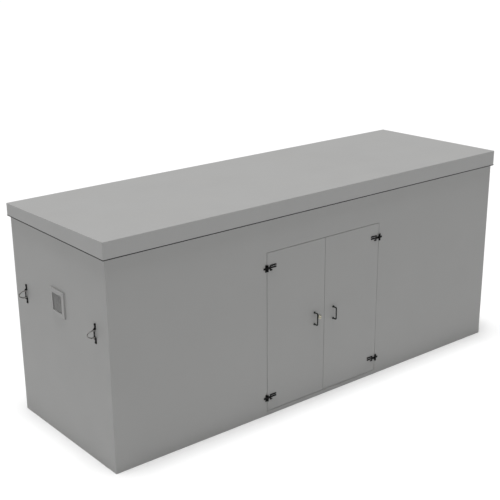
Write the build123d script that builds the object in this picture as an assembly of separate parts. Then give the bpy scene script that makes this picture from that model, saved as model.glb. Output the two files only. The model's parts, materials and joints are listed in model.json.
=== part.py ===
from build123d import *
import math
import os

# Walk-in housing with a diesel standby generating set inside. Millimetres, +Z up.
# Origin: centre of the walls' footprint on the ground. +X along the length, front wall at -Y.

# ---- housing ----
body_length = 6000.0
body_width = 2014.0
eaves_height = 2430.0
fascia_front = 197.0
fascia_rear = 146.0
overhang_end = 27.0
overhang_side = 23.0
roof_skin = 12.0
wall_lap = 50.0
wall_thick = 50.0
wall_skin = 6.0
rib_thick = 6.0
rib_pitch = 620.0
lining_thick = 25.0
joist_width = 60.0
joist_count = 7
slip = 2.0

# ---- doors ----
opening_width = 1799.0
sill_height = 50.5
opening_height = 1994.0
door_gap = 5.0
leaf_skin = 4.0
leaf_rib_count = 2
door_lining_thick = 38.0
frame_lap = 25.0
frame_cover = 45.0
frame_depth = 40.0
seal_depth = 9.5
seal_width = 12.0
seal_clear = 0.5

# ---- hinges ----
hinge_offset = 15.0
hinge_barrel_r = 9.0
hinge_pin_r = 4.0
hinge_height = 86.0
hinge_knuckle = 27.0
hinge_reach_leaf = 135.0
hinge_reach_frame = 52.0
hinge_plate_thick = 6.0
hinge_top_z = 1856.0
hinge_bottom_z = 228.0
prong_height = 16.0
prong_rise = 27.0
running = 0.05

# doorway, hinge and lock details
vent_lap = 20.0
lining_stop = 175.0
rod_hole_clear = 2.0
rod_hole_spare = 8.0
seal_inset = 2.0
knuckle_gap = 0.5
web_inset = 4.0
arm_root = 45.0
prong_root = 40.0
prong_bridge = 56.0
short_prong = 75.0
plate_inset = 6.0
plate_reach = 28.0
plate_arm_half = 12.0
pin_inset = 6.0
pin_head_height = 4.0
pin_head_proud = 2.5
handle_bend = 1.8
knob_gap = 0.4
knob_round = 7.0
grip_slot_half = 3.0
grip_slot_depth = 5.0
plate_setback = 9.0
pinion_width = 10.0
spindle_tail = 14.0
lock_plate_half = 60.0
lock_plate_rise = 140.0
lock_plate_thick = 4.0
lock_hole_clear = 0.3
guide_rise = 110.0
guide_half = 11.0
guide_half_height = 8.0
rod_end_gap = 1.5
rack_overrun = 45.0
rack_root = 3.0
rack_half_width = 4.0
hand_bolt_length = 330.0
hand_bolt_tab = 320.0
tab_height = 15.0
tab_half = 5.0
tab_reach = 22.0
guide_low_drop = 265.0
guide_high_drop = 100.0
hand_guide_half = 16.0
hand_guide_depth = 11.0
hand_guide_half_height = 12.0
vent_chamfer = 4.0
slat_setback = 12.0
slat_width = 20.0
slat_thick = 3.0
slat_angle = 35.0
slat_rail = 8.0

# ---- pull handles ----
handle_left_x = -158.0
handle_right_x = 148.0
handle_z = 1051.0
handle_centres = 150.0
handle_bar_r = 8.5
handle_reach = 66.0
handle_rose_r = 15.0
handle_rose_thick = 4.0

# ---- lock and shoot bolts ----
lock_x = -85.0
lock_z = 1054.0
lock_knob_r = 24.0
lock_knob_reach = 34.0
lock_spindle_r = 7.0
lock_rose_r = 27.0
lock_rose_thick = 3.0
pinion_pitch_r = 14.0
pinion_teeth = 14
bolt_rod_r = 6.0
bolt_travel = 22.0
bolt_hole_clear = 0.3
rack_depth = 2.0
rack_clear = 0.4
rod_plane = 24.0

# ---- end wall vent ----
vent_width = 290.0
vent_height = 300.0
vent_y = 12.0
vent_z = 1666.0
vent_proud = 19.0
vent_border = 46.0
vent_slat_count = 9

# ---- strap brackets and rings ----
strap_y = 750.0
strap_z = 1555.0
strap_length = 228.0
strap_width = 26.0
strap_pad_length = 66.0
strap_pad_thick = 8.0
strap_bar_r = 7.0
strap_bar_offset = 17.0
strap_foot = 12.0
bolt_head_r = 8.0
bolt_head_thick = 6.0
strap_bolt_pitch = 44.0
strap_backing = 25.0
ring_height = 92.0
ring_reach = 88.0
ring_wire_r = 6.0
ring_straight = 40.0
ring_nose = 14.0
ring_eye_length = 14.0

# ---- floor ----
deck_thick = 50.5
deck_plate = 6.0
deck_beam = 60.0
deck_cross_beams = 7
anchor_pad = 130.0
anchor_spacing_x = 5600.0
anchor_spacing_y = 1600.0
anchor_hole_r = 9.0

# ---- air paths ----
louvre_frame = 45.0
louvre_blade_pitch = 90.0
discharge_size = 1060.0
discharge_z = 810.0
inlet_width = 1300.0
inlet_height = 900.0
inlet_x = -1700.0
inlet_z = 900.0

# ---- generating set ----
set_x = 550.0
shaft_z = 720.0
skid_length = 2650.0
skid_start = -190.0
skid_half_width = 370.0
skid_rail_width = 70.0
skid_rail_height = 150.0
mount_height = 60.0
mount_r = 45.0
block_length = 1060.0
block_width = 420.0
block_height = 520.0
block_wall = 18.0
head_height = 130.0
cover_height = 90.0
sump_height = 150.0
flywheel_housing_length = 140.0
flywheel_housing_r = 270.0
flywheel_r = 225.0
flywheel_thick = 60.0
shaft_r = 32.0
alternator_length = 640.0
alternator_r = 270.0
alternator_wall = 40.0
rotor_r = 175.0
rotor_length = 380.0
crank_pulley_r = 95.0
fan_pulley_r = 75.0
charge_pulley_r = 40.0
pulley_width = 26.0
pulley_plane = 40.0
belt_thick = 8.0
belt_clear = 0.4
fan_rise = 200.0
fan_r = 290.0
fan_hub_r = 60.0
fan_blades = 7
fan_chord = 86.0
fan_depth = 60.0
charge_y = -285.0
charge_rise = 150.0
charge_body_r = 62.0
spindle_r = 12.0
radiator_width = 900.0
radiator_height = 1100.0
radiator_thick = 110.0
radiator_gap = 150.0
header_tank = 90.0
duct_wall = 3.0
silencer_r = 130.0
silencer_length = 900.0
silencer_z = 2150.0
silencer_y = 420.0
pipe_r = 45.0
pipe_wall = 4.0
tail_reach = 150.0
tail_collar = 6.0

# ---- tank, battery and controls ----
tank_length = 800.0
tank_width = 560.0
tank_height = 900.0
tank_x = -2380.0
tank_wall = 3.0
tank_legs = 120.0
filler_r = 55.0
battery_length = 330.0
battery_width = 175.0
battery_height = 220.0
cabinet_width = 620.0
cabinet_depth = 300.0
cabinet_height = 1500.0
cabinet_x = -760.0
cabinet_sheet = 2.5
cabinet_door_clear = 2.0
stop_button_r = 20.0
stop_travel = 6.0

# ---- values worked out from the sizes above ----
half_x = body_length / 2
front = -body_width / 2
rear = body_width / 2
wall_top = eaves_height + wall_lap
roof_front = eaves_height + fascia_front
roof_rear = eaves_height + fascia_rear
opening_top = sill_height + opening_height
jamb = opening_width / 2
leaf_outer = jamb - door_gap
leaf_inner = door_gap / 2
leaf_bottom = sill_height + door_gap
leaf_top = opening_top - door_gap
leaf_back = front + wall_thick
pivot_x = jamb - door_gap / 2
pivot_y = front - hinge_offset
inner_front = front + wall_thick + lining_thick
inner_rear = rear - wall_thick - lining_thick
inner_end = half_x - wall_thick - lining_thick
rod_y = front + rod_plane
rod_shift = pinion_pitch_r + rack_depth + bolt_rod_r
skid_bottom = deck_thick + mount_height
skid_top = skid_bottom + skid_rail_height
block_start = set_x + flywheel_housing_length
block_end = block_start + block_length
block_bottom = shaft_z - block_height / 2 + 60.0
block_top = block_bottom + block_height
pulley_x = block_end + pulley_plane
radiator_x = block_end + radiator_gap + fan_depth
charge_z = shaft_z + charge_rise
fan_z = shaft_z + fan_rise


def block(x0, x1, y0, y1, z0, z1):
    centre = Pos((x0 + x1) / 2, (y0 + y1) / 2, (z0 + z1) / 2)
    return centre * Box(abs(x1 - x0), abs(y1 - y0), abs(z1 - z0))


def rod_x(x0, x1, y, z, radius):
    return Pos((x0 + x1) / 2, y, z) * Rot(0, 90, 0) * Cylinder(radius, abs(x1 - x0))


def rod_y_axis(y0, y1, x, z, radius):
    return Pos(x, (y0 + y1) / 2, z) * Rot(90, 0, 0) * Cylinder(radius, abs(y1 - y0))


def rod_z(z0, z1, x, y, radius):
    return Pos(x, y, (z0 + z1) / 2) * Cylinder(radius, abs(z1 - z0))


def joined(pieces):
    whole = pieces[0]
    for piece in pieces[1:]:
        whole = whole + piece
    return whole


def write(node, *pieces):
    solids = [solid for piece in pieces for solid in piece.solids()]
    shape = solids[0] if len(solids) == 1 else Compound(children=solids)
    export_step(shape, "parts/" + node + ".step")


def ribbed_panel(width, height, pitch):
    """Moulded wall panel: outer face on y=0 looking to -Y, ribs and returns behind it."""
    panel = block(-width / 2, width / 2, 0, wall_thick, 0, height)
    bays = max(1, round(width / pitch))
    bay = (width - rib_thick) / bays
    for i in range(bays):
        x0 = -width / 2 + rib_thick + i * bay
        x1 = x0 + bay - rib_thick
        panel -= block(x0, x1, wall_skin, wall_thick + 1, rib_thick, height - rib_thick)
    return panel


def framed_hole(panel, x, z, width, height):
    """Cuts an opening through a ribbed panel and trims it with a full-depth edge."""
    half_w = width / 2
    half_h = height / 2
    rim_w = half_w + rib_thick
    rim_h = half_h + rib_thick
    collar = block(x - rim_w, x + rim_w, 0, wall_thick, z - rim_h, z + rim_h)
    hole = block(x - half_w, x + half_w, -1, wall_thick + 1, z - half_h, z + half_h)
    return panel + collar - hole


# ================= housing =================
def floor_deck():
    side = half_x - wall_thick
    deck = block(-side, side, front + wall_thick, rear - wall_thick, 0, deck_thick)
    bay = (2 * side - deck_beam) / (deck_cross_beams - 1)
    cavity = deck_thick - deck_plate
    for i in range(deck_cross_beams - 1):
        start = -side + deck_beam + i * bay
        y0 = front + wall_thick + deck_beam
        y1 = rear - wall_thick - deck_beam
        deck -= block(start, start + bay - deck_beam, y0, y1, -1, cavity)
    for sx in (-1, 1):
        for sy in (-1, 1):
            x = sx * anchor_spacing_x / 2
            y = sy * anchor_spacing_y / 2
            half = anchor_pad / 2
            deck += block(x - half, x + half, y - half, y + half, 0, deck_thick)
            deck -= rod_z(-1, deck_thick + 1, x, y, anchor_hole_r)
    return deck


def door_threshold():
    """Sill under the leaves, flush with the front wall, with the lower rod's hole."""
    sill = block(-jamb, jamb, front, front + wall_thick, 0, sill_height)
    low = sill_height - bolt_travel - rod_hole_spare
    return sill - rod_z(low, sill_height + 1, lock_x - rod_shift, rod_y, bolt_rod_r + rod_hole_clear)


def front_panels():
    width = half_x - jamb
    left = Pos(-(half_x + jamb) / 2, front, 0) * ribbed_panel(width, wall_top, rib_pitch)
    right = Pos((half_x + jamb) / 2, front, 0) * ribbed_panel(width, wall_top, rib_pitch)
    header = Pos(0, front, opening_top) * ribbed_panel(opening_width, wall_top - opening_top, rib_pitch)
    hole_r = bolt_rod_r + rod_hole_clear
    for x in (lock_x + rod_shift, -lock_x):
        header -= rod_z(opening_top - 1, opening_top + rib_thick + 1, x, rod_y, hole_r)
    return left, right, header


def rear_wall():
    wall = ribbed_panel(body_length, wall_top, rib_pitch)
    wall = framed_hole(wall, -inlet_x, inlet_z, inlet_width, inlet_height)
    tail_x = -(silencer_x() + silencer_length / 2 - pipe_r * 2)
    wall -= rod_y_axis(-1, wall_thick + 1, tail_x, silencer_z, pipe_r + slip)
    return Pos(0, rear, 0) * Rot(0, 0, 180) * wall


def end_wall_left():
    width = body_width - 2 * wall_thick
    wall = ribbed_panel(width, wall_top, rib_pitch)
    clear = vent_border - vent_lap
    wall = framed_hole(wall, -vent_y, vent_z, vent_width - 2 * clear, vent_height - 2 * clear)
    half_pad = strap_length / 2 + strap_backing
    for y in (-strap_y, strap_y):
        half = strap_width / 2 + strap_backing
        wall += block(-y - half, -y + half, 0, wall_thick, strap_z - half_pad, strap_z + half_pad)
        for z in strap_bolt_heights():
            wall -= rod_y_axis(-1, wall_thick + 1, -y, z, bolt_head_r / 2 + 0.5)
    return Pos(-half_x, 0, 0) * Rot(0, 0, -90) * wall


def end_wall_right():
    width = body_width - 2 * wall_thick
    wall = ribbed_panel(width, wall_top, rib_pitch)
    wall = framed_hole(wall, 0, discharge_z, discharge_size, discharge_size)
    return Pos(half_x, 0, 0) * Rot(0, 0, 90) * wall


def roof_underside(y):
    """Height of the roof skin's lower face at depth y."""
    run = body_width + 2 * overhang_side
    fall = (roof_front - roof_rear) / run
    return roof_front - roof_skin - fall * (y - front + overhang_side)


def roof_cap():
    y0 = front - overhang_side
    y1 = rear + overhang_side
    long_half = half_x + overhang_end
    outline = [(y0, eaves_height), (y1, eaves_height), (y1, roof_rear), (y0, roof_front)]
    cap = along_x(outline, -long_half, long_half)
    i0 = front - slip
    i1 = rear + slip
    low = eaves_height - 1
    hollow = [(i0, low), (i1, low), (i1, roof_underside(i1)), (i0, roof_underside(i0))]
    return cap - along_x(hollow, -half_x - slip, half_x + slip)


def along_x(points, x0, x1):
    """Extrudes a closed outline given as (y, z) points from x0 to x1."""
    face = make_face(Plane.YZ * Polyline(*points, close=True))
    return Pos(x0, 0, 0) * extrude(face, amount=x1 - x0, dir=(1, 0, 0))


def roof_joists():
    joists = []
    pitch = (body_length - joist_width) / (joist_count - 1)
    front_top = roof_underside(front)
    rear_top = roof_underside(rear)
    outline = [(front, wall_top), (rear, wall_top), (rear, rear_top), (front, front_top)]
    for i in range(joist_count):
        x0 = -half_x + i * pitch
        joists.append(along_x(outline, x0, x0 + joist_width))
    return joists


def wall_lining():
    top = wall_top
    low = deck_thick
    boards = []
    side = jamb + frame_cover + slip
    for s in (-1, 1):
        x0, x1 = sorted((s * side, s * (half_x - wall_thick)))
        boards.append(block(x0, x1, front + wall_thick, inner_front, low, top))
    back = block(-half_x + wall_thick, half_x - wall_thick, inner_rear, rear - wall_thick, low, top)
    back -= block(
        inlet_x - inlet_width / 2, inlet_x + inlet_width / 2, inner_rear - 1, rear,
        inlet_z - inlet_height / 2, inlet_z + inlet_height / 2
    )
    tail_x = silencer_x() + silencer_length / 2 - pipe_r * 2
    back -= rod_y_axis(inner_rear - 1, rear, tail_x, silencer_z, pipe_r + slip)
    boards.append(back)
    for s in (-1, 1):
        x0, x1 = sorted((s * inner_end, s * (half_x - wall_thick)))
        end = block(x0, x1, inner_front, inner_rear, low, top)
        if s < 0:
            clear = vent_border - vent_lap
            half_w = vent_width / 2 - clear
            half_h = vent_height / 2 - clear
            end -= block(x0 - 1, x1 + 1, vent_y - half_w, vent_y + half_w, vent_z - half_h, vent_z + half_h)
        else:
            half = discharge_size / 2
            end -= block(x0 - 1, x1 + 1, -half, half, discharge_z - half, discharge_z + half)
        boards.append(end)
    return boards


# ================= doorway =================
def door_frame():
    """Rebated stop behind the leaves: two jambs, a head and a threshold."""
    y0 = leaf_back
    y1 = leaf_back + frame_depth
    stop = leaf_back + seal_depth
    bars = []
    for s in (-1, 1):
        x_in, x_out = s * (jamb - frame_lap), s * (jamb + frame_cover)
        x0, x1 = sorted((x_in, x_out))
        bar = block(x0, x1, stop, y1, sill_height, opening_top + frame_cover)
        x0, x1 = sorted((s * jamb, x_out))
        bars.append(bar + block(x0, x1, y0, y1, sill_height, opening_top + frame_cover))
    x0, x1 = -jamb + frame_lap, jamb - frame_lap
    head = block(x0, x1, stop, y1, opening_top - frame_lap, opening_top + frame_cover)
    bars.append(head + block(x0, x1, y0, y1, opening_top, opening_top + frame_cover))
    bars.append(block(x0, x1, stop, y1, sill_height, sill_height + frame_lap))
    return bars


def door_seal():
    """Rubber strip on the stop, just clear of the leaves' back faces."""
    y0 = leaf_back + seal_clear
    y1 = leaf_back + seal_depth
    inset = frame_lap - seal_inset
    x1 = jamb - inset + seal_width
    z0 = sill_height + inset - seal_width
    z1 = opening_top - inset + seal_width
    w = seal_width
    outer = block(-x1, x1, y0, y1, z0, z1)
    return outer - block(-x1 + w, x1 - w, y0 - 1, y1 + 1, z0 + w, z1 - w)


def rib_heights():
    bay = (leaf_top - leaf_bottom - leaf_skin) / (leaf_rib_count + 1)
    return [leaf_bottom + i * bay for i in range(leaf_rib_count + 2)]


def door_leaf(side, rods):
    """Pan-shaped leaf: side is -1 for the left leaf and 1 for the right leaf."""
    x0, x1 = sorted((side * leaf_inner, side * leaf_outer))
    leaf = block(x0, x1, front, leaf_back, leaf_bottom, leaf_top)
    heights = rib_heights()
    for i in range(leaf_rib_count + 1):
        z0 = heights[i] + leaf_skin
        z1 = heights[i + 1]
        leaf -= block(x0 + leaf_skin, x1 - leaf_skin, front + leaf_skin, leaf_back + 1, z0, z1)
    for x, z0, z1 in rods:
        leaf -= rod_z(z0, z1, x, rod_y, bolt_rod_r + bolt_hole_clear)
    return leaf


def door_lining(side):
    """Sound-absorbing slabs in the pan, stopping short of the strip that holds the lock."""
    x0, x1 = sorted((side * lining_stop, side * (leaf_outer - leaf_skin)))
    heights = rib_heights()
    slabs = []
    for i in range(leaf_rib_count + 1):
        y0 = front + leaf_skin
        slabs.append(block(x0, x1, y0, y0 + door_lining_thick, heights[i] + leaf_skin, heights[i + 1]))
    return slabs


def hinge_arm(side, z):
    """Two-pronged strap on the leaf with the middle knuckle."""
    y_face = front
    y_out = front - hinge_plate_thick
    root_x = side * (pivot_x - hinge_barrel_r - web_inset)
    tip_x = side * (pivot_x - hinge_reach_leaf)
    half_k = hinge_knuckle / 2
    x0, x1 = sorted((root_x, side * (pivot_x - arm_root)))
    arm = block(x0, x1, y_out, y_face, z - half_k, z + half_k)
    for rise in (-prong_rise, 0.0, prong_rise):
        inner = side * (pivot_x - prong_root)
        end = tip_x if rise >= 0 else side * (pivot_x - short_prong)
        x0, x1 = sorted((inner, end))
        arm += block(x0, x1, y_out, y_face, z + rise - prong_height / 2, z + rise + prong_height / 2)
    x0, x1 = sorted((side * (pivot_x - prong_root), side * (pivot_x - prong_bridge)))
    spread = prong_rise + prong_height / 2
    arm += block(x0, x1, y_out, y_face, z - spread, z + spread)
    barrel = rod_z(z - half_k, z + half_k, side * pivot_x, pivot_y, hinge_barrel_r)
    x0, x1 = sorted((side * (pivot_x - web_inset), root_x))
    web = block(x0, x1, pivot_y, front, z - half_k, z + half_k)
    arm = arm + barrel + web
    return arm - rod_z(z - half_k - 1, z + half_k + 1, side * pivot_x, pivot_y, hinge_pin_r + running)


def hinge_frame_plate(side, z):
    """Cross-shaped plate on the wall with the upper and lower knuckles."""
    y_out = front - hinge_plate_thick
    half = hinge_height / 2
    gap = hinge_knuckle / 2 + knuckle_gap
    near = side * (jamb + plate_inset)
    far = side * (pivot_x + hinge_reach_frame)
    x0, x1 = sorted((near, side * (pivot_x + plate_reach)))
    plate = block(x0, x1, y_out, front, z - half, z + half)
    x0, x1 = sorted((near, far))
    plate += block(x0, x1, y_out, front, z - plate_arm_half, z + plate_arm_half)
    for s in (-1, 1):
        z0, z1 = sorted((z + s * gap, z + s * (half - pin_inset)))
        x0, x1 = sorted((side * pivot_x, near))
        plate += rod_z(z0, z1, side * pivot_x, pivot_y, hinge_barrel_r)
        plate += block(x0, x1, pivot_y, front - knuckle_gap, z0, z1)
    plate -= rod_z(z - half - 1, z + half + 1, side * pivot_x, pivot_y, hinge_pin_r)
    return plate


def hinge_pin(side, z):
    half = hinge_height / 2 - pin_inset
    pin = rod_z(z - half, z + half, side * pivot_x, pivot_y, hinge_pin_r)
    top = z + half
    return pin + rod_z(top, top + pin_head_height, side * pivot_x, pivot_y, hinge_pin_r + pin_head_proud)


def pull_handle(x):
    """Round bar bent into a D, on two roses."""
    z0 = handle_z - handle_centres / 2
    z1 = handle_z + handle_centres / 2
    y0 = front
    y1 = front - handle_reach + handle_bar_r
    bend = handle_bar_r * handle_bend
    path = FilletPolyline((x, y0, z0), (x, y1, z0), (x, y1, z1), (x, y0, z1), radius=bend)
    start = Plane(origin=(x, y0, z0), z_dir=(0, -1, 0))
    handle = sweep(start * Circle(handle_bar_r), path=path)
    for z in (z0, z1):
        handle += rod_y_axis(front - handle_rose_thick, front, x, z, handle_rose_r)
    return handle


# ================= lock =================
def gear_teeth(radius, width, teeth):
    """Straight-sided teeth round a pitch circle, axis along Y."""
    module = 2 * radius / teeth
    wheel = rod_y_axis(-width / 2, width / 2, 0, 0, radius - module * 1.1)
    step = 360.0 / teeth
    for i in range(teeth):
        tooth = Pos(radius - module * 0.25, 0, 0) * Box(module * 1.9, width, module * 1.05)
        wheel += Rot(0, i * step, 0) * tooth
    return wheel


def lock_knob():
    """Round cylinder head with a finger grip, its spindle and the pinion that drives both rods."""
    y_rose = front - lock_rose_thick
    y_tip = front - lock_knob_reach
    knob = rod_y_axis(y_tip, y_rose - knob_gap, lock_x, lock_z, lock_knob_r)
    knob = fillet(knob.edges().filter_by(GeomType.CIRCLE).sort_by(Axis.Y)[0], knob_round)
    r = lock_knob_r
    knob -= block(
        lock_x - grip_slot_half, lock_x + grip_slot_half, y_tip - 1, y_tip + grip_slot_depth,
        lock_z - r, lock_z + r
    )
    knob += rod_y_axis(y_rose - 1, rod_y - plate_setback, lock_x, lock_z, lock_spindle_r)
    gear = Pos(lock_x, rod_y, lock_z) * gear_teeth(pinion_pitch_r, pinion_width, pinion_teeth)
    spindle = rod_y_axis(rod_y - pinion_width, rod_y + spindle_tail, lock_x, lock_z, lock_spindle_r)
    return knob + gear + spindle


def lock_case():
    """Rose outside, and inside the leaf a backing plate with rod guides."""
    rose = rod_y_axis(front - lock_rose_thick, front, lock_x, lock_z, lock_rose_r)
    rose -= rod_y_axis(front - 5, front + 1, lock_x, lock_z, lock_spindle_r + lock_hole_clear)
    plate_y = rod_y + plate_setback
    plate = block(
        lock_x - lock_plate_half, lock_x + lock_plate_half, plate_y, plate_y + lock_plate_thick,
        lock_z - lock_plate_rise, lock_z + lock_plate_rise
    )
    plate -= rod_y_axis(plate_y - 1, plate_y + lock_plate_thick + 1, lock_x, lock_z, lock_spindle_r + running)
    for s in (-1, 1):
        x = lock_x + s * rod_shift
        z = lock_z + s * guide_rise
        low, high = z - guide_half_height, z + guide_half_height
        guide = block(x - guide_half, x + guide_half, front + leaf_skin, plate_y, low, high)
        plate += guide - rod_z(low - 1, high + 1, x, rod_y, bolt_rod_r + bolt_hole_clear)
    return rose, plate


def shoot_bolt(direction):
    """Rod with a toothed rack beside the pinion: direction is 1 for the upper rod, -1 for the lower."""
    x = lock_x + direction * rod_shift
    far = leaf_top - rod_end_gap if direction > 0 else leaf_bottom + rod_end_gap
    near = lock_z - direction * rack_overrun
    z0, z1 = sorted((near, far))
    rod = rod_z(z0, z1, x, rod_y, bolt_rod_r)
    pitch = 2 * math.pi * pinion_pitch_r / pinion_teeth
    face = x - direction * bolt_rod_r
    for i in range(-3, 4):
        z = lock_z + (i + 0.5) * pitch
        a, b = sorted((face + direction * rack_root, face - direction * (2 * rack_depth - rack_clear)))
        half = pitch * 0.17
        rod += block(a, b, rod_y - rack_half_width, rod_y + rack_half_width, z - half, z + half)
    return rod


def right_bolt():
    """Hand bolt for the second leaf, with a finger tab."""
    x = -lock_x
    rod = rod_z(leaf_top - hand_bolt_length, leaf_top - rod_end_gap, x, rod_y, bolt_rod_r)
    low = leaf_top - hand_bolt_tab
    return rod + block(x - tab_half, x + tab_half, rod_y, rod_y + tab_reach, low, low + tab_height)


def right_bolt_guides():
    x = -lock_x
    guides = []
    for z in (leaf_top - guide_low_drop, leaf_top - guide_high_drop):
        low, high = z - hand_guide_half_height, z + hand_guide_half_height
        back = rod_y + hand_guide_depth
        guide = block(x - hand_guide_half, x + hand_guide_half, front + leaf_skin, back, low, high)
        guides.append(guide - rod_z(low - 1, high + 1, x, rod_y, bolt_rod_r + bolt_hole_clear))
    return guides


# ================= end wall hardware =================
def vent_frame():
    x0 = -half_x - vent_proud
    y0, y1 = vent_y - vent_width / 2, vent_y + vent_width / 2
    z0, z1 = vent_z - vent_height / 2, vent_z + vent_height / 2
    frame = block(x0, -half_x, y0, y1, z0, z1)
    frame = chamfer(frame.faces().sort_by(Axis.X)[0].edges(), vent_chamfer)
    clear = vent_border - vent_lap + slip / 2
    frame += block(-half_x - 1, -half_x + wall_thick, y0 + clear, y1 - clear, z0 + clear, z1 - clear)
    b = vent_border
    return frame - block(x0 - 1, -half_x + wall_thick + 1, y0 + b, y1 - b, z0 + b, z1 - b)


def vent_grille():
    """Upright slats set back inside the frame, on a rear mesh plate."""
    b = vent_border
    y0, y1 = vent_y - vent_width / 2 + b, vent_y + vent_width / 2 - b
    z0, z1 = vent_z - vent_height / 2 + b, vent_z + vent_height / 2 - b
    x0 = -half_x - vent_proud + slat_setback
    slats = []
    pitch = (y1 - y0) / vent_slat_count
    for i in range(vent_slat_count):
        y = y0 + (i + 0.5) * pitch
        slat = Rot(0, 0, slat_angle) * Box(slat_width, slat_thick, z1 - z0)
        slats.append(Pos(x0 + slat_rail + 1, y, (z0 + z1) / 2) * slat)
    low_rail = block(x0 + 6.0, x0 + 12.0, y0, y1, z0, z0 + slat_rail)
    high_rail = block(x0 + 6.0, x0 + 12.0, y0, y1, z1 - slat_rail, z1)
    return joined(slats + [low_rail, high_rail])


def strap_bolt_heights():
    half = strap_length / 2 - strap_pad_length / 2
    return [strap_z + s * half + t * strap_bolt_pitch / 2 for s in (-1, 1) for t in (-1, 1)]


def strap_bracket(y):
    """Two bolted pads joined by an upright round bar that carries the ring."""
    x = -half_x
    bracket = []
    for s in (-1, 1):
        outer = strap_z + s * strap_length / 2
        inner = outer - s * strap_pad_length
        z0, z1 = sorted((outer, inner))
        pad = block(x - strap_pad_thick, x, y - strap_width / 2, y + strap_width / 2, z0, z1)
        z0, z1 = sorted((inner, inner + s * strap_foot))
        bracket.append(pad)
        reach = strap_bar_offset + strap_bar_r
        bracket.append(block(x - reach, x, y - strap_bar_r, y + strap_bar_r, z0, z1))
    half = strap_length / 2 - strap_pad_length
    bracket.append(rod_z(strap_z - half, strap_z + half, x - strap_bar_offset, y, strap_bar_r))
    bracket = joined(bracket)
    for z in strap_bolt_heights():
        bracket -= rod_x(x - 40, x + 1, y, z, bolt_head_r / 2 + 0.5)
    return bracket


def strap_bolts():
    bolts = []
    x = -half_x - strap_pad_thick
    for y in (-strap_y, strap_y):
        for z in strap_bolt_heights():
            hexagon = extrude(RegularPolygon(bolt_head_r, 6), bolt_head_thick / 2, both=True)
            head = Pos(x - bolt_head_thick / 2, y, z) * Rot(0, 90, 0) * hexagon
            bolts.append(head + rod_x(x, -half_x + wall_thick - 1, y, z, bolt_head_r / 2))
    return bolts


def lift_ring(y):
    """D-shaped bow on two eyes that turn on the upright bar."""
    x = -half_x - strap_bar_offset
    half = ring_height / 2 - ring_wire_r
    nose = x - ring_reach + ring_wire_r
    bend = x - ring_straight
    low, high = strap_z - half, strap_z + half
    low_nose, high_nose = strap_z - ring_nose, strap_z + ring_nose
    points = [(x, low), (bend, low), (nose, low_nose), (nose, high_nose), (bend, high), (x, high)]
    corners = [(px, y, pz) for px, pz in points]
    path = FilletPolyline(*corners, radius=[26.0, 13.0, 13.0, 26.0])
    ring = sweep(Plane(origin=(x, y, strap_z - half), z_dir=(-1, 0, 0)) * Circle(ring_wire_r), path=path)
    for s in (-1, 1):
        z = strap_z + s * half
        ring += rod_z(z - ring_eye_length / 2, z + ring_eye_length / 2, x, y, strap_bar_r + ring_wire_r)
    return ring - rod_z(strap_z - 200, strap_z + 200, x, y, strap_bar_r + 0.1)


# ================= air paths =================
def louvre(width, height):
    """Weather louvre with its outer face on y=0 looking to -Y, centred on x and z."""
    proud = 12.0
    hw, hh = width / 2, height / 2
    frame = block(-hw - louvre_frame, hw + louvre_frame, -proud, 0, -hh - louvre_frame, hh + louvre_frame)
    frame += block(-hw + slip, hw - slip, -1, wall_thick, -hh + slip, hh - slip)
    inner = 30.0
    frame -= block(-hw + inner, hw - inner, -proud - 1, wall_thick + 1, -hh + inner, hh - inner)
    blades = int((height - 2 * inner) / louvre_blade_pitch)
    pitch = (height - 2 * inner) / blades
    for i in range(blades):
        z = -hh + inner + (i + 0.5) * pitch
        frame += Pos(0, 20.0, z) * Rot(-40, 0, 0) * Box(width - 2 * inner + 2.0, 64.0, 3.0)
    return frame


def louvres():
    discharge = Pos(half_x, 0, discharge_z) * Rot(0, 0, 90) * louvre(discharge_size, discharge_size)
    inlet = Pos(inlet_x, rear, inlet_z) * Rot(0, 0, 180) * louvre(inlet_width, inlet_height)
    return discharge, inlet


def discharge_duct():
    x0 = radiator_x + radiator_thick
    x1 = inner_end
    half = radiator_width / 2 + duct_wall
    z0, z1 = skid_top, skid_top + radiator_height
    duct = block(x0, x1, -half, half, z0, z1)
    return duct - block(x0 - 1, x1 + 1, -half + duct_wall, half - duct_wall, z0 + duct_wall, z1 - duct_wall)


# ================= generating set =================
def skid_frame():
    end = skid_start + skid_length
    rails = []
    for s in (-1, 1):
        y0, y1 = sorted((s * skid_half_width, s * (skid_half_width - skid_rail_width)))
        rail = block(skid_start, end, y0, y1, skid_bottom, skid_top)
        c0, c1 = sorted((s * (skid_half_width - 8), s * (skid_half_width - skid_rail_width - 1)))
        rails.append(rail - block(skid_start - 1, end + 1, c0, c1, skid_bottom + 10, skid_top - 10))
    inner = skid_half_width - 8.0
    for x in (skid_start + 60, set_x - 200, block_start + 120, block_end - 160, end - 80):
        rails.append(block(x - 40, x + 40, -inner, inner, skid_bottom + 10, skid_top - 10))
    return joined(rails)


def vibration_mounts():
    pads = []
    for x in (skid_start + 200, skid_start + skid_length / 2, skid_start + skid_length - 200):
        for s in (-1, 1):
            y = s * (skid_half_width - skid_rail_width / 2)
            pads.append(rod_z(deck_thick, skid_bottom, x, y, mount_r - 14))
            pads[-1] += rod_z(deck_thick, deck_thick + 8, x, y, mount_r)
    return pads


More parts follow.
